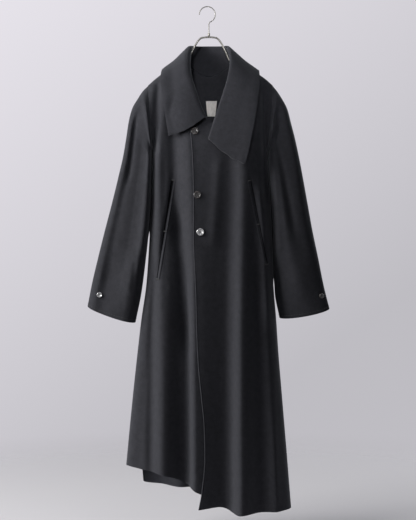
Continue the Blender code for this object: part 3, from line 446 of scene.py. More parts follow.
# Hanger
HOOK_WIRE = 0.0014
HOOK_RADIUS = 0.0231
HOOK_MIDDLE = -0.004
HOOK_FIRST = 178         # degrees round the bend
HOOK_LAST = -72
HOOK_STEPS = 60
SHANK_EASE = 0.0058
SHANK = 0.0006
FERRULE_TOP = -0.0755
FERRULE_BOTTOM = -0.0836
FERRULE_RADIUS = 0.0036
FERRULE_SIDES = 40
FERRULE_ROUND = 0.0010
FERRULE_ROUND_STEPS = 4
YOKE_WIRE = 0.0026
YOKE_TOP = -0.0868
YOKE_BENDS = ((0.0203, -0.0886), (0.029, -0.095), (0.0525, -0.137), (0.061, -0.155))  # across, level
ARM_DROP = 0.0054
ARM_LEVELS = (-0.178, -0.192, -0.204, -0.213)
WIRE_SIDES = 20
YOKE_STEPS = 150
CAP_RINGS = 5            # rings of a tube's rounded end
ALONG_Y = 0.9            # a tube that starts closer to Y than this is turned from X
TUBE_MERGE = 0.001       # share of a tube's radius; corners closer than this are one

# Unevenness of the hanging cloth
SWAY = 0.0012            # height
SWAY_SIZE = 0.11         # breadth of the swells
SWAY_LONG = 0.45         # breadth of the swells as a share of their length
FRONT_SEED = 1.5
BACK_SEED = 7.5
SMOOTHING = 8            # times that a panel's kinks are eased

# Photograph's view
VIEW_DISTANCE = 3.5
VIEW_ACROSS = -0.002
VIEW_LEVEL = -0.733
VIEW_HEIGHT = 1.508      # height that the picture spans at the coat
SENSOR = 24.0
FLOOR_LEVEL = -1.53
FLOOR_RADIUS = 2.2
FLOOR_SIDES = 96
FLOOR_SOLID = 0.35       # share of the floor's radius that is fully there; it fades out beyond

# Finishes
WOOL_COLOUR = (0.0245, 0.0248, 0.0292)
# the collar's wool is the body's wool painted about 15 per cent darker: painted shade
COLLAR_SHADED_COLOUR = (0.0208, 0.0211, 0.0250)
NAP = 0.0004             # depth of the wool's fibres
WOOL_TONES = (0.58, 1.34)  # shares of the wool's colour between which it is mottled
WOOL_STOPS = (0.50, 1.00)  # values of the mottling that have those tones
DRIFT_STOPS = (0.35, 0.68)  # the same for the other finishes' noise
CLOUD_SHARE = 0.60       # weight of the broad mottling beside the fibres
WOOL_LOOK = {
    "Roughness": 0.92, "Specular IOR Level": 0.06, "Sheen Weight": 0.18, "Sheen Roughness": 0.45,
    "Sheen Tint": (0.75, 0.78, 0.84, 1.0),
}
# Two tones along a stretched noise, gloss, the depth of a fine grain, and other values of the shader
Finish = namedtuple(
    "Finish", "name dark light scale stretch roughness metallic grain extra", defaults=({},))
FINISHES = rows_of(
    Finish,
    # near-black and without gloss: painted shade for the pockets' open mouths
    ("pocket_lining", (0.004, 0.004, 0.005), (0.007, 0.007, 0.008), 300.0, (1, 1, 1), 0.8, 0.0, 0.0002,
     {"Specular IOR Level": 0.0}),
    ("black_thread", (0.008, 0.008, 0.009), (0.020, 0.020, 0.022), 900.0, (1, 1, 1), 0.6, 0.0, 0.0001),
    ("dark_horn", (0.010, 0.009, 0.010), (0.050, 0.044, 0.042), 160.0, (1, 0.3, 0.5), 0.10, 0.0, 0.00005,
     {"Coat Weight": 1.0, "Coat IOR": 3.0, "Coat Roughness": 0.10}),
    # a duller, darker copy of the horn above: painted shade for the buttons that catch less light
    ("dull_horn", (0.009, 0.008, 0.008), (0.042, 0.034, 0.031), 160.0, (1, 0.3, 0.5), 0.24, 0.0, 0.00005),
    ("chrome_wire", (0.13, 0.125, 0.115), (0.20, 0.191, 0.176), 120.0, (1, 1, 0.4), 0.46, 1.0, 0.00001),
    ("label_tape", (0.52, 0.49, 0.47), (0.74, 0.70, 0.67), 120.0, (6, 1, 0.6), 0.8, 0.0, 0.0002),
)
FLOOR_LOOK = {
    "Base Color": (0.37, 0.365, 0.38, 1.0), "Roughness": 0.7,
    "Emission Color": (0.52, 0.51, 0.545, 1.0), "Emission Strength": 0.35,
}

# Surroundings: the tone slants across the picture between two levels
BACKDROP_SLANT = -0.70
BACKDROP_LOW = -0.14
BACKDROP_HIGH = 0.32
BACKDROP_DARK = (0.515, 0.505, 0.54, 1.0)
BACKDROP_LIGHT = (0.79, 0.765, 0.82, 1.0)

# Lamps: an area lamp's size is width and height, a spot's is its cone in degrees and its softness
MIDDLE = (0.0, 0.0, -0.75)
WARM = (1.0, 0.99, 0.97)
COOL = (0.95, 0.97, 1.0)
PALE = (0.97, 0.98, 1.0)
Lamp = namedtuple("Lamp", "name kind place aim size power colour")
LAMPS = rows_of(
    Lamp,
    ("key", "AREA", (-3.30, -0.85, 0.50), MIDDLE, (1.2, 2.0), 165.0, WARM),
    ("middle", "AREA", (-2.80, -1.95, 0.50), MIDDLE, (1.2, 2.0), 100.0, WARM),
    ("fill", "AREA", (-2.0, -3.1, -0.4), MIDDLE, (1.2, 1.8), 4.0, COOL),
    ("front", "AREA", (0.32, -0.95, 0.32), (0.10, 0.0, -0.42), (0.30, 0.30), 1.6, COOL),
    ("neck", "SPOT", (-0.35, -3.2, 0.60), (0.01, 0.03, -0.20), (8.0, 0.25), 500.0, PALE),
    ("hem", "SPOT", (-0.35, -1.2, -1.50), (-0.125, 0.10, -1.385), (6.0, 0.02), 60.0, PALE),
    ("glint", "AREA", (-0.1, -3.4, -0.5), MIDDLE, (1.4, 1.4), 14.0, (1.0, 1.0, 1.0)),
    ("behind", "AREA", (2.4, 2.9, 0.2), MIDDLE, (1.6, 2.0), 45.0, COOL),
)
GLOSS_ALONE = ("glint",)  # lamps that show in polish and leave the cloth's light as it is


def through(places, values):
    """A smooth curve through knots that never overshoots and is flat past its ends; it takes arrays."""
    order = np.argsort(places)
    places = np.array(places, float)[order]
    values = np.array(values, float)[order]
    steps = np.diff(places)
    rises = np.diff(values) / steps
    turns = rises[:-1] * rises[1:]
    slopes = np.zeros(len(places))
    slopes[0] = rises[0]
    slopes[-1] = rises[-1]
    slopes[1:-1] = np.where(turns > 0, 2 * turns / np.where(turns > 0, rises[:-1] + rises[1:], 1), 0)

    def value_at(place):
        place = np.clip(place, places[0], places[-1])
        i = np.clip(np.searchsorted(places, place, side="right") - 1, 0, len(steps) - 1)
        t = (place - places[i]) / steps[i]
        line = values[i] * (1 + 2 * t) * (1 - t) ** 2 + values[i + 1] * t * t * (3 - 2 * t)
        return line + steps[i] * (slopes[i] * t * (1 - t) ** 2 - slopes[i + 1] * t * t * (1 - t))

    return value_at


def ease(share):
    """Soft step from 0 to 1."""
    share = np.clip(share, 0.0, 1.0)
    return share * share * (3 - 2 * share)


def rising(place, start):
    """Soft step from 0 to 1 that starts at a place and takes a run."""
    return float(ease((place - start[0]) / start[1]))


def falling(place, end):
    """Soft step from 1 to 0 that ends at a place and takes a run."""
    return float(ease((end[0] - place) / end[1]))


def faded(share, run):
    """1 along a crease, dying out round both its ends."""
    return ease(share / run + 0.5) * ease((1 - share) / run + 0.5)


def column(rows, place, value):
    """Smooth curve of one column of a table against another."""
    return through([getattr(row, place) for row in rows], [getattr(row, value) for row in rows])


SHOULDER_X = {side: column(SHOULDERS, "level", side) for side in SIDES}
SIDE_X = {side: column(SECTIONS, "level", side) for side in SIDES}
FRONT_REACH = column(SECTIONS, "level", "front")
BACK_REACH = column(SECTIONS, "level", "back")
SQUARE = column(SECTIONS, "level", "square")
CHEST_GROWTH = column(FOLD_GROWTH, "level", "chest")
HEM_GROWTH = column(FOLD_GROWTH, "level", "hem")


def body_side(side, level):
    """Place across of the body's outline: the shoulder seam, then the armhole and the side seam."""
    return np.where(level > SHOULDER_POINT, SHOULDER_X[side](level), SIDE_X[side](level))


def armhole_rim(level, depth):
    """How far the armhole's rim lies from the shoulder seam's plane at a level."""
    t = (level - ARMHOLE_MIDDLE) / ARMHOLE_HALF
    return depth * np.sqrt(np.maximum(0.0, 1 - t * t))


def creased(x, z, creases):
    """Depth of the creases at places on a panel."""
    total = np.zeros(np.broadcast(x, z).shape)
    for crease in creases:
        run = np.array((crease.x1 - crease.x0, crease.z1 - crease.z0))
        length = np.linalg.norm(run)
        run = run / length
        along = ((x - crease.x0) * run[0] + (z - crease.z0) * run[1]) / length
        beside = (x - crease.x0) * run[1] - (z - crease.z0) * run[0]
        keen = np.sqrt(beside ** 2 + (crease.width * KEEN) ** 2) - crease.width * KEEN
        sharp = np.exp(-keen / crease.width * SHARP_FALL)
        soft = np.exp(-(beside / crease.width) ** 2)
        total += crease.depth * (soft + (sharp - soft) * crease.sharp) * faded(along, CREASE_FADE)
    return total


def swell(x, z, seed):
    """Slow unevenness of cloth that hangs free."""
    flat = np.stack([x.ravel(), z.ravel() * SWAY_LONG], axis=1) / SWAY_SIZE
    values = [noise.noise(Vector((a, seed, b))) for a, b in flat]
    return SWAY * np.array(values).reshape(x.shape)


def to_side(x, level):
    """0 in the middle of the body, 1 at its side seams."""
    outline = np.where(x < 0, body_side("right", level), body_side("left", level))
    return np.minimum(1.0, np.abs(x / outline))


def fade_at_sides(x, level, share):
    """1 in the middle of a panel, 0 at its side seams."""
    return ease((1 - to_side(x, level)) / share)


def bulge(x, level, reach, armhole, folds):
    """How far the body's round and its broad folds stand from the plane of the side seams."""
    across = to_side(x, level)
    square = SQUARE(level)
    proud = reach * (1 - across ** square) ** (1 / square)
    rim = armhole_rim(level, armhole)
    beside = (1 - across) / RIM_SHARE
    inside = reach * (1 - (1 - RIM_SHARE) ** square) ** (1 / square)
    shape = proud / inside
    shape = shape + (beside - shape) * ease(rim / armhole / ARMHOLE_FLAT)
    proud = np.where((beside < 1) & (rim > 0), rim + (inside - rim) * shape, proud)
    chest = column(folds, "high", "chest")(x)
    hem = column(folds, "low", "hem")(x)
    fold = CHEST_GROWTH(level) * chest + HEM_GROWTH(level) * hem
    return proud + fold * fade_at_sides(x, level, FOLD_SIDE_FADE)


def right_front_y(x, level):
    proud = bulge(x, level, FRONT_REACH(level), ARMHOLE_FRONT, FRONT_FOLDS)
    fine = swell(x, level, FRONT_SEED) - creased(x, level, FRONT_CREASES)
    beside = creased(x, level, ARMHOLE_CREASES) * fade_at_sides(x, level, ARMHOLE_FADE)
    return -(proud + fine * fade_at_sides(x, level, FOLD_SIDE_FADE) - beside)


def left_front_y(x, level):
    return right_front_y(x, level) - LAP_LIFT * ease((LAP_START - x) / (LAP_START - LAP_END))


def back_y(x, level):
    proud = bulge(x, level, BACK_REACH(level), ARMHOLE_BACK, BACK_FOLDS)
    fine = swell(x, level, BACK_SEED) - creased(x, level, BACK_CREASES)
    return proud + fine * fade_at_sides(x, level, FOLD_SIDE_FADE)


def level_rows():
    """Levels of the body's rows."""
    return np.concatenate([
        np.linspace(NECK_POINT, SHOULDER_POINT, NECK_ROWS, endpoint=False),
        np.linspace(SHOULDER_POINT, UNDERARM, ARMHOLE_ROWS, endpoint=False),
        np.linspace(UNDERARM, WAIST, CHEST_ROWS, endpoint=False),
        np.linspace(WAIST, HEM_LEVEL, SKIRT_ROWS + 1),
    ])[:, None]


def meeting(above, high, low):
    """Levels between two others where falling measures cross zero."""
    for _ in range(HALVINGS):
        half = (high + low) / 2
        over = above(half) > 0
        high = np.where(over, half, high)
        low = np.where(over, low, half)
    return (high + low) / 2


def cloth_level(level, top, hem):
    """Level of a row in columns that start at the neckline's level and end at the hem's."""
    fade = np.maximum(0.0, (level - NECK_FADE) / (NECK_POINT - NECK_FADE))
    skirt = WAIST + (hem - WAIST) * (level - WAIST) / (HEM_LEVEL - WAIST)
    return np.where(level >= WAIST, level - (NECK_POINT - top) * fade, skirt)


def smoothed(depths, times):
    """Depths of a grid with its kinks eased; the border stays."""
    for _ in range(times):
        inner = depths[1:-1, 1:-1]
        around = depths[:-2, 1:-1] + depths[2:, 1:-1] + depths[1:-1, :-2] + depths[1:-1, 2:]
        depths = depths.copy()
        depths[1:-1, 1:-1] = inner / 2 + around / 8
    return depths


def panel(across, above_neck, lowest, seams, hem_line, depth_at):
    """Places of a panel's points from its neckline to its hem; its seams start at the neck point."""
    tops = meeting(above_neck, np.full(PANEL_COLUMNS, NECK_POINT), np.full(PANEL_COLUMNS, lowest))
    tops[seams] = NECK_POINT
    hem = column(hem_line, "across", "level")
    z = cloth_level(level_rows(), tops, hem(across(np.full(PANEL_COLUMNS, HEM_LEVEL))))
    x = across(z)
    return x, smoothed(depth_at(x, z), SMOOTHING), z


def front_grid(side, neckline, edge_line, hem_line, depth_at):
    """Rows of points of one front, from its outer seam to its front edge."""
    neck = column(neckline, "level", "across")
    edge = column(edge_line, "level", "across")
    shares = np.linspace(0, 1, PANEL_COLUMNS)
    shares = shares + SIDE_CROWDING * (1 - np.cos(shares * math.pi / 2) - shares)

    def across(level):
        outer = body_side(side, level)
        return outer + (edge(level) - outer) * shares

    def above_neck(level):
        return OUTWARDS[side] * (neck(level) - across(level))

    x, y, z = panel(across, above_neck, neckline[-1].level, [0], hem_line, depth_at)
    x = x + OUTWARDS[side] * leaning(side, z) * overhang(y) * (shares < RIM_SHARE)
    y[:, 0] -= SEAM / 2
    return np.stack([x, y, z], axis=2)


def back_grid():
    """Rows of points of the back, from its right seam to its left."""
    neck = column(BACK_NECKLINE, "across", "level")
    shares = np.linspace(0, 1, PANEL_COLUMNS)
    shares = shares + SIDE_CROWDING * ((1 - np.cos(shares * math.pi)) / 2 - shares)

    def across(level):
        right = body_side("right", level)
        return right + (body_side("left", level) - right) * shares

    def above_neck(level):
        return level - neck(across(level))

    x, y, z = panel(across, above_neck, SHOULDER_POINT, [0, -1], BACK_HEM, back_y)
    y[:, [0, -1]] += SEAM / 2
    return np.stack([x, y, z], axis=2)


def rolled_edge(grid):
    """A front's grid with its free edge folded back round a roll, and the facing behind it."""
    last = grid[:, -1]
    out = np.array((0.0, -1.0, 0.0))
    side = np.sign(last[:, 0] - grid[:, -2, 0])[:, None] * np.array((1.0, 0.0, 0.0))
    flat = np.abs(grid[-1, :, 0] - last[-1, 0]) > ROLL_ROOM * ROLL_RADIUS
    centre = last - side * ROLL_RADIUS - out * ROLL_RADIUS
    columns = [grid[:, flat]]
    for turn in np.linspace(0, math.pi, ROLL_COLUMNS + 1):
        columns.append((centre + (out * math.cos(turn) + side * math.sin(turn)) * ROLL_RADIUS)[:, None])
    for i in range(1, FACING_COLUMNS + 1):
        away = FACING * i / FACING_COLUMNS
        near = np.abs(np.abs(grid[:, :, 0] - last[:, :1]) - away).argmin(axis=1)
        behind = grid[np.arange(len(grid)), near] - out * 2 * ROLL_RADIUS
        columns.append(behind[:, None])
    return np.concatenate(columns, axis=1)


def loft(rows, places, at):
    """Smooth rows at some places through rows of points at others."""
    curves = [through(places, rows[:, c, k]) for c in range(rows.shape[1]) for k in range(3)]
    return np.stack([curve(at) for curve in curves], axis=1).reshape(len(at), rows.shape[1], 3)


def sleeve_rows(side, rings, turns):
    """Rows of points round a sleeve: its armhole, then its rings."""
    z = ARMHOLE_MIDDLE + ARMHOLE_HALF * np.cos(turns)
    depth = np.where(turns < math.pi, ARMHOLE_FRONT, ARMHOLE_BACK)
    rows = [np.stack([SIDE_X[side](z), -depth * np.sin(turns), z], axis=1)]
    for ring in rings:
        outer = np.array((ring.outer_x, -ring.forward, ring.outer_z))
        inner = np.array((ring.inner_x, -ring.forward, ring.inner_z))
        row = (outer + inner) / 2 + np.outer(np.cos(turns), (outer - inner) / 2)
        row[:, 1] -= ring.depth * np.sin(turns)
        rows.append(row)
    rows = np.array(rows)
    rows[0] += (rows[1] - rows[0]) * (SEAM / np.linalg.norm(rows[1] - rows[0], axis=1))[:, None]
    return rows


def sleeve_grid(side, rings, folds, creases):
    """Rows of points of a sleeve from the armhole to the cuff; each row starts at its outer point."""
    turns = np.linspace(0, 2 * math.pi, SLEEVE_COLUMNS + 1)
    around = np.degrees(turns)
    forward = np.sin(turns)
    rows = sleeve_rows(side, rings, turns)
    steps = np.linalg.norm(np.diff(rows, axis=0), axis=2).mean(axis=1)
    places = np.concatenate([[0.0], np.cumsum(steps)]) / steps.sum()
    at = np.linspace(0, 1, SLEEVE_ROWS)
    grid = loft(rows, places, at)
    middle = grid[:, :-1].mean(axis=1, keepdims=True)[:, :, 1]
    at = at[:, None]
    high = column(folds, "turn", "high")(around)
    low = column(folds, "turn", "low")(around)
    left_over = 1 - (1 - SLEEVE_FOLD_LEFT) * ease((at - 1) / SLEEVE_FOLD_FALL + 1)
    grown = ease(at / SLEEVE_FOLD_RISE[side]) * left_over
    proud = high + (low - high) * ease((at - ELBOW) / ELBOW_RUN)
    grid[:, :, 1] -= grown * proud * forward
    fine = np.zeros(grid.shape[:2])
    for crease in creases:
        share = (at - crease.place0) / (crease.place1 - crease.place0)
        line = crease.turn0 + (crease.turn1 - crease.turn0) * np.clip(share, 0, 1)
        beside = np.radians(around - line) * SLEEVE_RADIUS
        fine -= crease.depth * np.exp(-(beside / crease.width) ** 2) * faded(share, SLEEVE_CREASE_FADE)
    fading = ease((HEAD_SQUARE_END - at) / HEAD_SQUARE_FALL)
    flat = 1 - (1 - HEAD_SQUARE) * ease(at / HEAD_SQUARE_RISE) * fading
    outer_front = (turns < math.pi / 2) & (turns > 0)
    power = np.where(outer_front, np.maximum(forward, LEAST_SINE) ** (flat - 1), 1.0)
    grid[:, :, 1] = middle + (grid[:, :, 1] - middle) * power
    ridge = HEAD_RIDGE * np.exp(-((at - HEAD_PLACE) / HEAD_WIDTH) ** 2) * ease(at / HEAD_PLACE)
    low_front = ease((around - LOW_RIDGE_START) / LOW_RIDGE_RUN)
    seamed = np.where(turns < math.pi, 1.0 + LOW_RIDGE[side] * low_front, HEAD_BEHIND)
    grid[:, :, 1] -= (fine * ease(at / SLEEVE_CREASE_START) + ridge * seamed) * forward
    grid[:, :, 2] -= CUFF_BOW * ease((at - CUFF_BOW_START) / (1 - CUFF_BOW_START)) * forward
    return lean_on_body(grid, side, np.abs(around - 180))


def leaning(side, level):
    """1 where the sleeve lies against the body, easing to 0 where it swings free."""
    return ease((level - CONTACT_END[side]) / CONTACT_EASE + 1) * ease((UNDERARM - level) / UNDERARM_EASE)


def overhang(y):
    """How far cloth at a depth bulges to close the view between the sleeve and the body."""
    return OVERHANG * np.exp(-((-y - OVERHANG_REACH) / OVERHANG_BROAD) ** 2)


def lean_on_body(grid, side, from_inner):
    """Sleeve's grid with its inner side drawn up to the body's side seam, down to where it swings free."""
    outwards = OUTWARDS[side]
    inner = grid[:, SLEEVE_COLUMNS // 2]
    wanted = SIDE_X[side](inner[:, 2]) + outwards * CONTACT
    held = leaning(side, inner[:, 2])
    spread = np.exp(-(from_inner / CONTACT_SPREAD) ** 2)
    grid[:, :, 0] += ((wanted - inner[:, 0]) * held)[:, None] * spread
    inside = from_inner < OVERHANG_SPREAD
    grid[:, :, 0] += outwards * held[:, None] * overhang(grid[:, :, 1]) * inside
    limit = SIDE_X[side](grid[:, :, 2]) + outwards * CONTACT
    clear = outwards * np.maximum(outwards * grid[:, :, 0], outwards * limit)
    below = (grid[:, :, 2] < UNDERARM) & (from_inner < CLEAR_SPREAD)
    grid[:, :, 0] = np.where(below, clear, grid[:, :, 0])
    grid[:, -1] = grid[:, 0]
    return grid


def along(points, share):
    """Point a share of the way along a line of points."""
    lengths = np.linalg.norm(np.diff(points, axis=0), axis=1)
    places = np.concatenate([[0.0], np.cumsum(lengths)])
    return Vector([np.interp(share * places[-1], places, points[:, k]) for k in range(3)])


def guide(rows, value):
    """Smooth line in space through one column of the collar's table."""
    shares = [row.share for row in rows]
    axes = [through(shares, [getattr(row, value)[k] for row in rows]) for k in range(3)]
    return lambda share: Vector([float(axis(share)) for axis in axes])


def surface_of(grids):
    """Search tree of the outer faces of some panels."""
    points = []
    faces = []
    for grid in grids:
        first = len(points)
        height, width = grid.shape[:2]
        points += [Vector(point) for point in grid.reshape(-1, 3)]
        corners = first + np.arange(height * width).reshape(height, width)
        quads = np.stack([corners[:-1, :-1], corners[:-1, 1:], corners[1:, 1:], corners[1:, :-1]], axis=2)
        faces += quads.reshape(-1, 4).tolist()
    return BVHTree.FromPolygons(points, faces)


def clear_of(tree, point, away, clearance):
    """Point moved away from a surface, a few steps, until it is clear of it."""
    for _ in range(CLEARING_STEPS):
        near, _, _, distance = tree.find_nearest(point)
        signed = distance if (point - near).dot(away) >= 0 else -distance
        if signed < clearance:
            point = point + away * (clearance - signed)
    return point


def cut_at(points, x):
    """Line of points from its start to a place across."""
    crossing = int(np.argmax((points[:-1, 0] - x) * (points[1:, 0] - x) <= 0))
    a, b = points[crossing], points[crossing + 1]
    return np.concatenate([points[:crossing + 1], [a + (b - a) * (x - a[0]) / (b[0] - a[0])]])


def ripple(t, share, waves):
    """Unevenness at a place on a wing of the collar."""
    return noise.noise(Vector((t * waves[0], share * waves[1], waves[2])))


def collar_grid(right_front, left_front, back, body):
    """Rows of points of the collar across its width: up the stand, over the rolled fold, down the fall."""
    right_seam = cut_at(right_front[0], COLLAR_RIGHT_END)
    left_seam = cut_at(left_front[0], COLLAR_LEFT_END)
    seam = np.concatenate([right_seam[::-1], back[0][1:-1], left_seam])
    fold_line = guide(COLLAR, "fold")
    edge_line = guide(COLLAR, "edge")
    rows = []
    for share in np.linspace(0, 1, COLLAR_COLUMNS):
        foot = along(seam, share)
        fold = fold_line(share)
        edge = edge_line(share)
        run = (fold_line(min(1.0, share + RUN_STEP)) - fold_line(max(0.0, share - RUN_STEP))).normalized()
        down = (edge - fold).normalized()
        out = run.cross(down).normalized()
        roll = ROLL + SOFT_ROLL * (rising(share, SOFT_ROLL_START) * falling(share, SOFT_ROLL_END))
        centre = fold + down * roll
        foot = foot + (centre - out * roll - foot).normalized() * COLLAR_SEAM
        row = [foot.lerp(centre - out * roll, i / STAND_ROWS) for i in range(STAND_ROWS)]
        for i in range(ROLL_ROWS + 1):
            angle = math.pi * (i / ROLL_ROWS - 0.5)
            row.append(centre + (out * math.sin(angle) - down * math.cos(angle)) * roll)
        start = row[-1]
        on_right = share < 0.5
        end = min(share, 1 - share)
        bow = END_BOW * float(ease(1 - end / END_BOW_REACH)) * (-1 if on_right else 1)
        low = RIGHT_BOW if on_right else LEFT_BOW
        belly = WING_BOW + (low - WING_BOW) * rising(abs(share - 0.5), LOW_BOW_START)
        belly *= falling(share, RIGHT_BOW_END) + rising(share, LEFT_BOW_START)
        at_tip = falling(share, TIP_FLIP_END)
        turned = EDGE_FLIP + (RIGHT_FLIP - EDGE_FLIP) * falling(share, RIGHT_FLIP_END)
        turned += (TIP_FLIP - RIGHT_FLIP) * at_tip
        flip_start = EDGE_FLIP_START + (TIP_FLIP_START - EDGE_FLIP_START) * at_tip
        wave = EDGE_WAVE * float(ease(1 - end / EDGE_WAVE_REACH))
        wrinkle = TIP_WRINKLE * float(ease(1 - end / TIP_WRINKLE_REACH))
        for t in np.arange(1, FALL_ROWS + 1) / FALL_ROWS:
            flip = turned * rising(t, (flip_start, 1 - flip_start))
            point = start.lerp(edge, t) + (run * bow + out * belly) * math.sin(math.pi * t) + out * flip
            point += run * wave * ripple(t, share, EDGE_WAVES)
            point += out * wrinkle * rising(t, TIP_WRINKLE_START) * ripple(t, share, TIP_WRINKLES)
            row.append(clear_of(body, point, out, FALL_CLEARANCE))
        rows.append(row)
    grid = np.array(rows, float)
    for k in range(3):
        grid[:, :, k] = smoothed(grid[:, :, k], COLLAR_SMOOTHING)
    return grid


def forwards(point):
    return Vector((0, -1, 0))


def backwards(point):
    return Vector((0, 1, 0))


def new_object(name, mesh, material):
    mesh.materials.clear()
    mesh.materials.append(material)
    thing = bpy.data.objects.new(name, mesh)
    bpy.context.scene.collection.objects.link(thing)
    return thing


def dress(piece, slot, *nodes):
    """Piece stands for some solids, which are hidden, and hangs from the root; its slot is not used."""
    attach(piece, "root")
    if nodes:
        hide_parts(*nodes)
    return piece


def mesh_of(bm, name):
    """Smooth mesh of a finished shape."""
    mesh = bpy.data.meshes.new(name)
    bm.to_mesh(mesh)
    bm.free()
    mesh.shade_smooth()
    return mesh


def add_sheet(bm, points, merge=0.0):
    """Grid of faces through rows of points; corners closer than a distance are made one."""
    height = len(points) - 1
    width = len(points[0]) - 1
    made = bmesh.ops.create_grid(bm, x_segments=width, y_segments=height, size=1.0)
    for vert in made["verts"]:
        c = round((vert.co.x + 1) / 2 * width)
        r = round((vert.co.y + 1) / 2 * height)
        vert.co = points[r][c]
    if merge:
        bmesh.ops.remove_doubles(bm, verts=made["verts"], dist=merge)


def make_cloth(name, grid, wall, material, outwards, merge=0.0, edge_round=EDGE_ROUND):
    """Thin cloth through a grid of points with its wall on the inner side and rounded cut edges."""
    bm = bmesh.new()
    add_sheet(bm, grid, merge)
    bm.normal_update()
    facing = sum(face.normal.dot(outwards(face.calc_center_median())) for face in bm.faces)
    if facing < 0:
        bmesh.ops.reverse_faces(bm, faces=bm.faces)
    thing = new_object(name, mesh_of(bm, name), material)
    shell = thing.modifiers.new("wall", "SOLIDIFY")
    shell.thickness = wall
    shell.offset = -1.0
    rounding = thing.modifiers.new("rounding", "BEVEL")
    rounding.width = edge_round
    rounding.segments = EDGE_SEGMENTS
    rounding.limit_method = "ANGLE"
    rounding.angle_limit = math.radians(EDGE_ANGLE)
    return thing


def touch(tree, x, z, start=-1.0):
    """Where a line from the front meets the cloth, and the cloth's direction towards the front there."""
    place, normal, _, _ = tree.ray_cast(Vector((x, start, z)), Vector((0, 1, 0)))
    if place is not None and normal.y > 0:
        normal = -normal
    return place, normal


def smooth_line(points, count):
    """Even run of points along a smooth line through others."""
    points = np.array(points, float)
    places = np.concatenate([[0.0], np.cumsum(np.linalg.norm(np.diff(points, axis=0), axis=1))])
    at = np.linspace(0, places[-1], count)
    return np.stack([through(places, points[:, k])(at) for k in range(3)], axis=1)


def add_tube(bm, points, radius, sides):
    """Round tube with rounded ends along points."""
    points = np.array(points, float)
    runs = np.gradient(points, axis=0)
    runs /= np.linalg.norm(runs, axis=1)[:, None]
    rings = [(point, run, radius) for point, run in zip(points, runs)]
    for turn in np.linspace(0, math.pi / 2, CAP_RINGS, endpoint=False)[::-1]:
        ahead = radius * math.cos(turn)
        rings.insert(0, (points[0] - runs[0] * ahead, runs[0], radius * math.sin(turn)))
        rings.append((points[-1] + runs[-1] * ahead, runs[-1], radius * math.sin(turn)))
    side = np.cross(runs[0], (0.0, 1.0, 0.0) if abs(runs[0][1]) < ALONG_Y else (1.0, 0.0, 0.0))
    turns = np.linspace(0, 2 * math.pi, sides + 1)
    grid = []
    for centre, run, reach in rings:
        side = side - run * side.dot(run)
        side /= np.linalg.norm(side)
        other = np.cross(run, side)
        grid.append(centre + reach * (np.outer(np.cos(turns), side) + np.outer(np.sin(turns), other)))
    add_sheet(bm, grid, radius * TUBE_MERGE)


def make_tubes(name, lines, radius, sides, material):
    """One piece of several round tubes."""
    bm = bmesh.new()
    for line in lines:
        add_tube(bm, line, radius, sides)
    bmesh.ops.recalc_face_normals(bm, faces=bm.faces)
    return new_object(name, mesh_of(bm, name), material)


def strip_grid(tree, pocket, profile, spread, rise):
    """Rows of points of a strip along a pocket's slit, at heights over the cloth."""
    rows = []
    for t in np.linspace(0, 1, POCKET_ROWS):
        middle = Vector(pocket.top).lerp(Vector(pocket.bottom), t)
        wide = spread[0] + (spread[1] - spread[0]) * t
        proud = rise[0] + (rise[1] - rise[0]) * float(ease(t))
        row = []
        for across, height in profile:
            place, normal = touch(tree, middle.x + pocket.lip * across * wide, middle.z)
            row.append(place + normal * height * proud)
        rows.append(row)
    return np.array(rows, float)


def tack_lines(tree, pocket, share):
    """Threads of a bar tack across a slit."""
    top = Vector(pocket.top)
    bottom = Vector(pocket.bottom)
    run = (bottom - top).normalized()
    beside = run.cross(Vector((0, 1, 0)))
    lines = []
    for i in range(TACK_THREADS):
        middle = top.lerp(bottom, share) + run * (i - (TACK_THREADS - 1) / 2) * TACK_PITCH
        middle = middle + Vector((pocket.lip * TACK_SHIFT, 0, 0))
        line = []
        for t in np.linspace(-0.5, 0.5, TACK_POINTS):
            spot = middle + beside * t * TACK_LENGTH
            place, normal = touch(tree, spot.x, spot.z)
            line.append(place + normal * (TACK_FOOT + TACK_RISE * math.cos(t * math.pi)))
        lines.append(line)
    return lines


def make_pocket(side, tree, finish):
    """The welt's rolled lip on a front; gives a near-black strip of painted shade in the pocket's mouth
    beside it, and its bar tacks.
    """
    pocket = POCKETS[side]
    # the mouth strip lies on the cloth in the slit, painted shade where the pocket gapes
    opening = strip_grid(tree, pocket, MOUTH_PROFILE, pocket.gape, MOUTH_RISE)
    mouth = make_cloth("pocket_slit_painted_shade_" + side, opening, WELT_WALL, finish["pocket_lining"], forwards)
    dress(mouth, "black_wool")
    welt = strip_grid(tree, pocket, LIP_PROFILE, LIP_WIDTH, pocket.rise)
    lip = make_cloth("pocket_lip_" + side, welt, WELT_WALL, finish["black_wool"], forwards)
    dress(lip, "black_wool", "pocket_welt_" + side)
    lines = [line for share in TACK_PLACES for line in tack_lines(tree, pocket, share)]
    tacks = make_tubes("bar_tacks_" + side, lines, THREAD, THREAD_SIDES, finish["black_thread"])
    return [mouth, dress(tacks, "black_wool")]


def make_label(tree, tape):
    """Bare woven label on the inside of the back."""
    rows = []
    for down in np.linspace(0, 1, LABEL_GRID):
        row = []
        for across in np.linspace(-0.5, 0.5, LABEL_GRID):
            x = LABEL_MIDDLE + LABEL_WIDTH * (1 - LABEL_TAPER * down) * across
            place, normal = touch(tree, x, LABEL_TOP - LABEL_HEIGHT * down, 0.0)
            bow = LABEL_BOW * (LABEL_BOW_TOP + (1 - LABEL_BOW_TOP) * down) * (1 - (2 * across) ** 2)
            row.append(place + normal * (WOOL + 2 * LABEL_CLOTH + bow))
        rows.append(row)
    label = make_cloth("woven_label", np.array(rows, float), LABEL_CLOTH, tape, forwards)
    dress(label, "label_tape", "label")


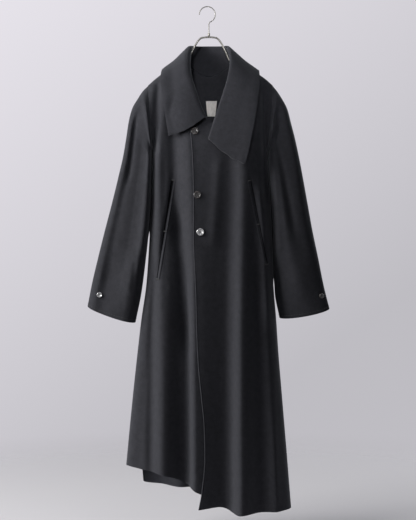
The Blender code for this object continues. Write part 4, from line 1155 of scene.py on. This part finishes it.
def cuff_stitches(side, grid, thread):
    """Row of short stitches round a sleeve above its cuff."""
    step = np.linalg.norm(np.diff(grid[:, 0], axis=0), axis=1).mean()
    place = len(grid) - 1 - CUFF_STITCH_RISE / step
    row = int(place)
    ring = grid[row] + (grid[row + 1] - grid[row]) * (place - row)
    away = ring - grid[-1, :-1].mean(axis=0)
    ring = ring + away / np.linalg.norm(away, axis=1)[:, None] * STITCH_THREAD * STITCH_LIFT
    total = np.linalg.norm(np.diff(ring, axis=0), axis=1).sum()
    lines = []
    for start in np.arange(int(total / STITCH_PITCH)) * STITCH_PITCH:
        lines.append([along(ring, (start + STITCH_LENGTH * t) / total) for t in (0, 0.5, 1.0)])
    stitches = make_tubes("cuff_stitches_" + side, lines, STITCH_THREAD, STITCH_SIDES, thread)
    return dress(stitches, "black_wool")


def make_sleeve(side, button, finish):
    """One sleeve, with its cuff stitches and its button."""
    grid = sleeve_grid(side, *SLEEVES[side])
    head = Vector(grid[0, :-1].mean(axis=0))
    axis = (Vector(grid[-1, :-1].mean(axis=0)) - head).normalized()

    def from_axis(point):
        return (point - head) - axis * (point - head).dot(axis)

    sleeve = make_cloth("wool_sleeve_" + side, grid, WOOL, finish["black_wool"], from_axis, merge=MERGE)
    dress(sleeve, "black_wool", "sleeve_" + side)
    stitches = cuff_stitches(side, grid, finish["black_thread"])
    tree = surface_of([grid])
    place_button("button_cuff_" + side, button, CUFF_BUTTON_RADIUS, CUFF_BUTTONS[side], tree, finish)


def button_mesh(name, radius):
    """Turned button with a raised rim and sewing holes."""
    bm = bmesh.new()
    last = None
    for share, height in BUTTON_PROFILE:
        vert = bm.verts.new((share * radius, 0, height * BUTTON_THICK))
        if last:
            bm.edges.new((last, vert))
        last = vert
    bmesh.ops.spin(bm, geom=bm.verts[:] + bm.edges[:], axis=(0, 0, 1), cent=(0, 0, 0), angle=2 * math.pi,
                   steps=BUTTON_STEPS, use_merge=True)
    bmesh.ops.remove_doubles(bm, verts=bm.verts, dist=MERGE)
    bmesh.ops.recalc_face_normals(bm, faces=bm.faces)
    turned = bpy.data.objects.new(name, mesh_of(bm, name))
    bm = bmesh.new()
    reach = BUTTON_HOLE_CIRCLE * radius
    for i in range(BUTTON_HOLES):
        turn = 2 * math.pi * (i + 0.5) / BUTTON_HOLES
        pin = bmesh.ops.create_cone(bm, cap_ends=True, segments=BUTTON_HOLE_SIDES, depth=3 * BUTTON_THICK,
                                    radius1=BUTTON_HOLE_RADIUS, radius2=BUTTON_HOLE_RADIUS)
        bmesh.ops.translate(bm, verts=pin["verts"], vec=(reach * math.cos(turn), reach * math.sin(turn), 0))
    cutter = bpy.data.objects.new(name + "_pins", mesh_of(bm, name + "_pins"))
    holes = turned.modifiers.new("holes", "BOOLEAN")
    holes.operation = "DIFFERENCE"
    holes.solver = "EXACT"
    holes.object = cutter
    for thing in (turned, cutter):
        bpy.context.scene.collection.objects.link(thing)
    graph = bpy.context.evaluated_depsgraph_get()
    drilled = bpy.data.meshes.new_from_object(turned.evaluated_get(graph))
    for thing in (turned, cutter):
        bpy.data.objects.remove(thing, do_unlink=True)
    return drilled


def place_button(node, mesh, radius, place, tree, finish):
    """Button lying on the cloth, and the thread through its holes."""
    middle, normal = touch(tree, place.x, place.z)
    highest = 0.0
    for turn in np.linspace(0, 2 * math.pi, RIM_SPOTS, endpoint=False):
        spot, _ = touch(tree, place.x + radius * math.cos(turn), place.z + radius * math.sin(turn))
        if spot is not None and (spot - middle).length < 2 * radius:
            highest = max(highest, (spot - middle).dot(normal))
    pose = Matrix.Translation(middle + normal * (highest + BUTTON_LIFT))
    pose = pose @ normal.to_track_quat("Z", "Y").to_matrix().to_4x4()
    body = mesh.copy()
    body.transform(pose)
    body.shade_smooth()
    # the same horn on every button; the duller, darker copy is painted shade
    horn = finish["dark_horn" if node in BRIGHTER_LIT_BUTTONS else "dull_horn"]
    dress(new_object("horn_" + node, body, horn), "dark_horn", node)
    reach = BUTTON_HOLE_CIRCLE * radius * math.sqrt(0.5)
    lines = []
    for across in (-reach, reach):
        for shift in (-LOOP_SHIFT * THREAD, LOOP_SHIFT * THREAD):
            line = []
            for t in np.linspace(-1, 1, LOOP_POINTS):
                height = BUTTON_SEAT * BUTTON_THICK + THREAD * (LOOP_RISE - LOOP_DIP * t ** LOOP_SQUARE)
                line.append(pose @ Vector((across + shift, reach * t, height)))
            lines.append(line)
    dress(make_tubes("thread_" + node, lines, THREAD, THREAD_SIDES, finish["black_thread"]), "black_wool")


def hook_points():
    """Middle of the hook's wire: round the bend from its free end, then down the shank."""
    inside = HOOK_RADIUS - HOOK_WIRE
    middle = Vector((HOOK_MIDDLE, 0, -math.sqrt(inside ** 2 - HOOK_MIDDLE ** 2)))
    turns = np.radians(np.linspace(HOOK_FIRST, HOOK_LAST, HOOK_STEPS))
    points = [middle + Vector((math.cos(turn), 0, math.sin(turn))) * HOOK_RADIUS for turn in turns]
    low = points[-1].z - SHANK_EASE
    return points + [Vector((SHANK, 0, level)) for level in (low, (low + FERRULE_TOP) / 2, FERRULE_TOP)]


def yoke_points():
    """Middle of the yoke's wire: up one arm, over the arch and down the other."""
    halves = {}
    for side, sign in OUTWARDS.items():
        half = []
        for across, level in YOKE_BENDS:
            half.append(Vector((SHANK + sign * across, 0, level)))
        for level in ARM_LEVELS:
            seam = Vector((float(body_side(side, level)), 0, level))
            lower = Vector((float(body_side(side, level - ARM_DROP)), 0, level - ARM_DROP))
            slope = (lower - seam).normalized()
            half.append(seam + Vector((-abs(slope.z) * sign, 0, -abs(slope.x))) * ARM_DROP)
        halves[side] = half
    return halves["right"][::-1] + [Vector((SHANK, 0, YOKE_TOP))] + halves["left"]


def make_hanger(chrome):
    """Bent wire hook and yoke, and the small turned ferrule between them."""
    hook = make_tubes("wire_hook", [hook_points()], HOOK_WIRE, WIRE_SIDES, chrome)
    dress(hook, "chrome_wire", "hanger_hook")
    yoke = make_tubes("wire_yoke", [smooth_line(yoke_points(), YOKE_STEPS)], YOKE_WIRE, WIRE_SIDES, chrome)
    dress(yoke, "chrome_wire", "hanger_yoke")
    bm = bmesh.new()
    bmesh.ops.create_cone(bm, cap_ends=True, segments=FERRULE_SIDES, depth=FERRULE_TOP - FERRULE_BOTTOM,
                          radius1=FERRULE_RADIUS, radius2=FERRULE_RADIUS)
    bmesh.ops.translate(bm, verts=bm.verts, vec=(SHANK, 0, (FERRULE_TOP + FERRULE_BOTTOM) / 2))
    rims = [edge for edge in bm.edges if abs(edge.verts[0].co.z - edge.verts[1].co.z) < FERRULE_ROUND]
    bmesh.ops.bevel(bm, geom=rims, offset=FERRULE_ROUND, offset_type="OFFSET", segments=FERRULE_ROUND_STEPS,
                    profile=0.5, affect="EDGES", material=-1)
    dress(new_object("turned_ferrule", mesh_of(bm, "ferrule"), chrome), "chrome_wire", "hanger_ferrule")


def put(tree, kind, **values):
    """New shader node. Values with small names are its settings, the others its inputs, _ for a space."""
    node = tree.nodes.new("ShaderNode" + kind)
    for name, value in values.items():
        if name.islower():
            setattr(node, name, value)
        else:
            node.inputs[name.replace("_", " ")].default_value = value
    return node


def wire(tree, *runs):
    """Links between shader nodes, each from an output to an input."""
    for source, output, target, place in runs:
        tree.links.new(source.outputs[output], target.inputs[place])


def new_finish(name, look):
    """New material whose shader has some values set; gives its nodes and that shader too."""
    material = bpy.data.materials.new(name)
    material.use_nodes = True
    shader = material.node_tree.nodes["Principled BSDF"]
    for value in look:
        shader.inputs[value].default_value = look[value]
    return material, material.node_tree, shader


def tone_ramp(tree, places, tones):
    """Ramp between two tones."""
    ramp = put(tree, "ValToRGB")
    for stop, place, colour in zip(ramp.color_ramp.elements, places, tones):
        stop.position = place
        stop.color = (*colour, 1.0)
    return ramp


def toned_finish(row):
    """Finish whose colour drifts between two tones along a stretched noise, with a fine grain."""
    look = {"Roughness": row.roughness, "Metallic": row.metallic, **row.extra}
    material, tree, shader = new_finish(row.name, look)
    place = put(tree, "TexCoord")
    mapping = put(tree, "Mapping", Scale=row.stretch)
    drift = put(tree, "TexNoise", Scale=row.scale, Detail=4.0)
    ramp = tone_ramp(tree, DRIFT_STOPS, (row.dark, row.light))
    bump = put(tree, "Bump", Strength=0.3, Distance=row.grain)
    wire(tree, (place, "Object", mapping, "Vector"), (mapping, "Vector", drift, "Vector"),
         (drift, "Fac", ramp, "Fac"), (ramp, "Color", shader, "Base Color"),
         (drift, "Fac", bump, "Height"), (bump, "Normal", shader, "Normal"))
    return material


def wool_finish(name, colour):
    """Felted black wool: mottled fibres, a soft nap and a pale sheen at the folds' flanks."""
    material, tree, shader = new_finish(name, WOOL_LOOK)
    place = put(tree, "TexCoord")
    fibre = put(tree, "TexNoise", Scale=1100.0, Detail=3.0)
    cloud = put(tree, "TexNoise", Scale=70.0, Detail=8.0, Roughness=0.68)
    mix = put(tree, "Math", operation="MULTIPLY_ADD")
    mix.inputs[1].default_value = CLOUD_SHARE
    tones = [[channel * share for channel in colour] for share in WOOL_TONES]
    ramp = tone_ramp(tree, WOOL_STOPS, tones)
    bump = put(tree, "Bump", Strength=0.35, Distance=NAP)
    wire(tree, (place, "Object", fibre, "Vector"), (place, "Object", cloud, "Vector"),
         (cloud, "Fac", mix, 0), (fibre, "Fac", mix, 2), (mix, "Value", ramp, "Fac"),
         (ramp, "Color", shader, "Base Color"), (fibre, "Fac", bump, "Height"),
         (bump, "Normal", shader, "Normal"))
    return material


def make_coat():
    finish = {row.name: toned_finish(row) for row in FINISHES}
    finish["black_wool"] = wool_finish("black_wool", WOOL_COLOUR)
    # the collar takes a darker copy of the body's wool, painted shade
    finish["collar_wool_painted_shade"] = wool_finish("collar_wool_painted_shade", COLLAR_SHADED_COLOUR)
    front_button = button_mesh("front_button", FRONT_BUTTON_RADIUS)
    cuff_button = button_mesh("cuff_button", CUFF_BUTTON_RADIUS)
    right = front_grid("right", RIGHT_NECKLINE, RIGHT_FRONT_EDGE, RIGHT_HEM, right_front_y)
    left = front_grid("left", LEFT_NECKLINE, LEFT_FRONT_EDGE, LEFT_HEM, left_front_y)
    back = back_grid()
    body = surface_of([right, left, back])
    for node, grid, outwards in (
        ("front_right", right, forwards),
        ("front_left", rolled_edge(left), forwards),
        ("back", back, backwards),
    ):
        cloth = make_cloth("wool_" + node, grid, WOOL, finish["black_wool"], outwards)
        dress(cloth, "black_wool", node)
    make_hanger(finish["chrome_wire"])
    for side in SIDES:
        make_sleeve(side, cuff_button, finish)
    waist = Vector((0, 0, WAIST))
    grid = collar_grid(right, left, back, body)
    # the collar wears the darker copy of the wool, painted shade
    collar = make_cloth("wool_collar", grid, COLLAR_WOOL, finish["collar_wool_painted_shade"],
                        lambda point: point - waist, edge_round=COLLAR_ROUND)
    dress(collar, "black_wool", "collar")
    for side, grid, cut in (("right", right, RIGHT_FRONT_CUT), ("left", left, LEFT_FRONT_CUT)):
        sewn = make_pocket(side, surface_of([grid]), finish)
    make_label(surface_of([back]), finish["label_tape"])
    lapped = surface_of([left])
    for number, place in enumerate(FRONT_BUTTONS, 1):
        place_button("button_front_%d" % number, front_button, FRONT_BUTTON_RADIUS, place, lapped, finish)


def floor_finish():
    """Pale floor that fades out towards its rim."""
    material, tree, shader = new_finish("pale_floor", FLOOR_LOOK)
    place = put(tree, "TexCoord")
    flat = put(tree, "VectorMath", operation="MULTIPLY")
    flat.inputs[1].default_value = (1 / FLOOR_RADIUS, 1 / FLOOR_RADIUS, 0)
    reach = put(tree, "VectorMath", operation="LENGTH")
    fade = put(tree, "MapRange", interpolation_type="SMOOTHSTEP", From_Min=FLOOR_SOLID, From_Max=1.0)
    clear = put(tree, "BsdfTransparent")
    mix = put(tree, "MixShader")
    wire(tree, (place, "Object", flat, 0), (flat, "Vector", reach, 0), (reach, "Value", fade, "Value"),
         (fade, "Result", mix, "Fac"), (shader, "BSDF", mix, 1), (clear, "BSDF", mix, 2),
         (mix, "Shader", tree.nodes["Material Output"], "Surface"))
    return material


def make_surroundings(scene):
    """Plain pale surroundings: a slanting tone for the eye, little light for cloth, more for polish."""
    scene.world = bpy.data.worlds.new("studio")
    scene.world.use_nodes = True
    tree = scene.world.node_tree
    seen = tree.nodes["Background"]
    direction = put(tree, "TexCoord")
    parts = put(tree, "SeparateXYZ")
    slant = put(tree, "Math", operation="MULTIPLY_ADD")
    slant.inputs[1].default_value = BACKDROP_SLANT
    height = put(tree, "MapRange", From_Min=BACKDROP_LOW, From_Max=BACKDROP_HIGH)
    tone = put(tree, "Mix", data_type="RGBA", A=BACKDROP_DARK, B=BACKDROP_LIGHT)
    lit = put(tree, "Background", Color=(0.80, 0.82, 0.88, 1.0), Strength=0.02)
    shine = put(tree, "Background", Color=(0.84, 0.84, 0.88, 1.0), Strength=0.8)
    path = put(tree, "LightPath")
    glossy = put(tree, "MixShader")
    mix = put(tree, "MixShader")
    wire(tree, (direction, "Generated", parts, "Vector"), (parts, "X", slant, 0), (parts, "Z", slant, 2),
         (slant, "Value", height, "Value"), (height, "Result", tone, "Factor"),
         (tone, "Result", seen, "Color"), (path, "Is Glossy Ray", glossy, "Fac"),
         (lit, "Background", glossy, 1), (shine, "Background", glossy, 2),
         (path, "Is Camera Ray", mix, "Fac"), (glossy, "Shader", mix, 1), (seen, "Background", mix, 2),
         (mix, "Shader", tree.nodes["World Output"], "Surface"))


def add_lamp(scene, row):
    """Lamp of the studio, turned towards what it lights."""
    data = bpy.data.lights.new(row.name, row.kind)
    data.energy = row.power
    data.color = row.colour
    if row.kind == "AREA":
        data.shape = "RECTANGLE"
        data.size, data.size_y = row.size
    else:
        data.spot_size = math.radians(row.size[0])
        data.shadow_soft_size = row.size[1]
        data.spot_blend = 1.0
    lamp = bpy.data.objects.new(row.name, data)
    lamp.location = row.place
    lamp.rotation_mode = "QUATERNION"
    lamp.rotation_quaternion = (Vector(row.aim) - Vector(row.place)).to_track_quat("-Z", "Y")
    lamp.visible_diffuse = row.name not in GLOSS_ALONE
    scene.collection.objects.link(lamp)


def make_studio():
    """Pale floor, soft light from the front left, plain pale surroundings, and the camera."""
    scene = bpy.context.scene
    scene.view_settings.view_transform = "Standard"
    make_surroundings(scene)
    for row in LAMPS:
        add_lamp(scene, row)
    bm = bmesh.new()
    bmesh.ops.create_circle(bm, cap_ends=True, segments=FLOOR_SIDES, radius=FLOOR_RADIUS)
    bmesh.ops.translate(bm, verts=bm.verts, vec=(0, 0, FLOOR_LEVEL))
    floor = new_object("floor", mesh_of(bm, "floor"), floor_finish())
    data = bpy.data.cameras.new("camera")
    data.sensor_width = SENSOR
    data.lens = SENSOR * VIEW_DISTANCE / VIEW_HEIGHT
    camera = bpy.data.objects.new("camera", data)
    camera.location = (VIEW_ACROSS, -VIEW_DISTANCE, VIEW_LEVEL)
    camera.rotation_euler = (math.pi / 2, 0, 0)
    scene.collection.objects.link(camera)
    scene.camera = camera


make_studio()
make_coat()
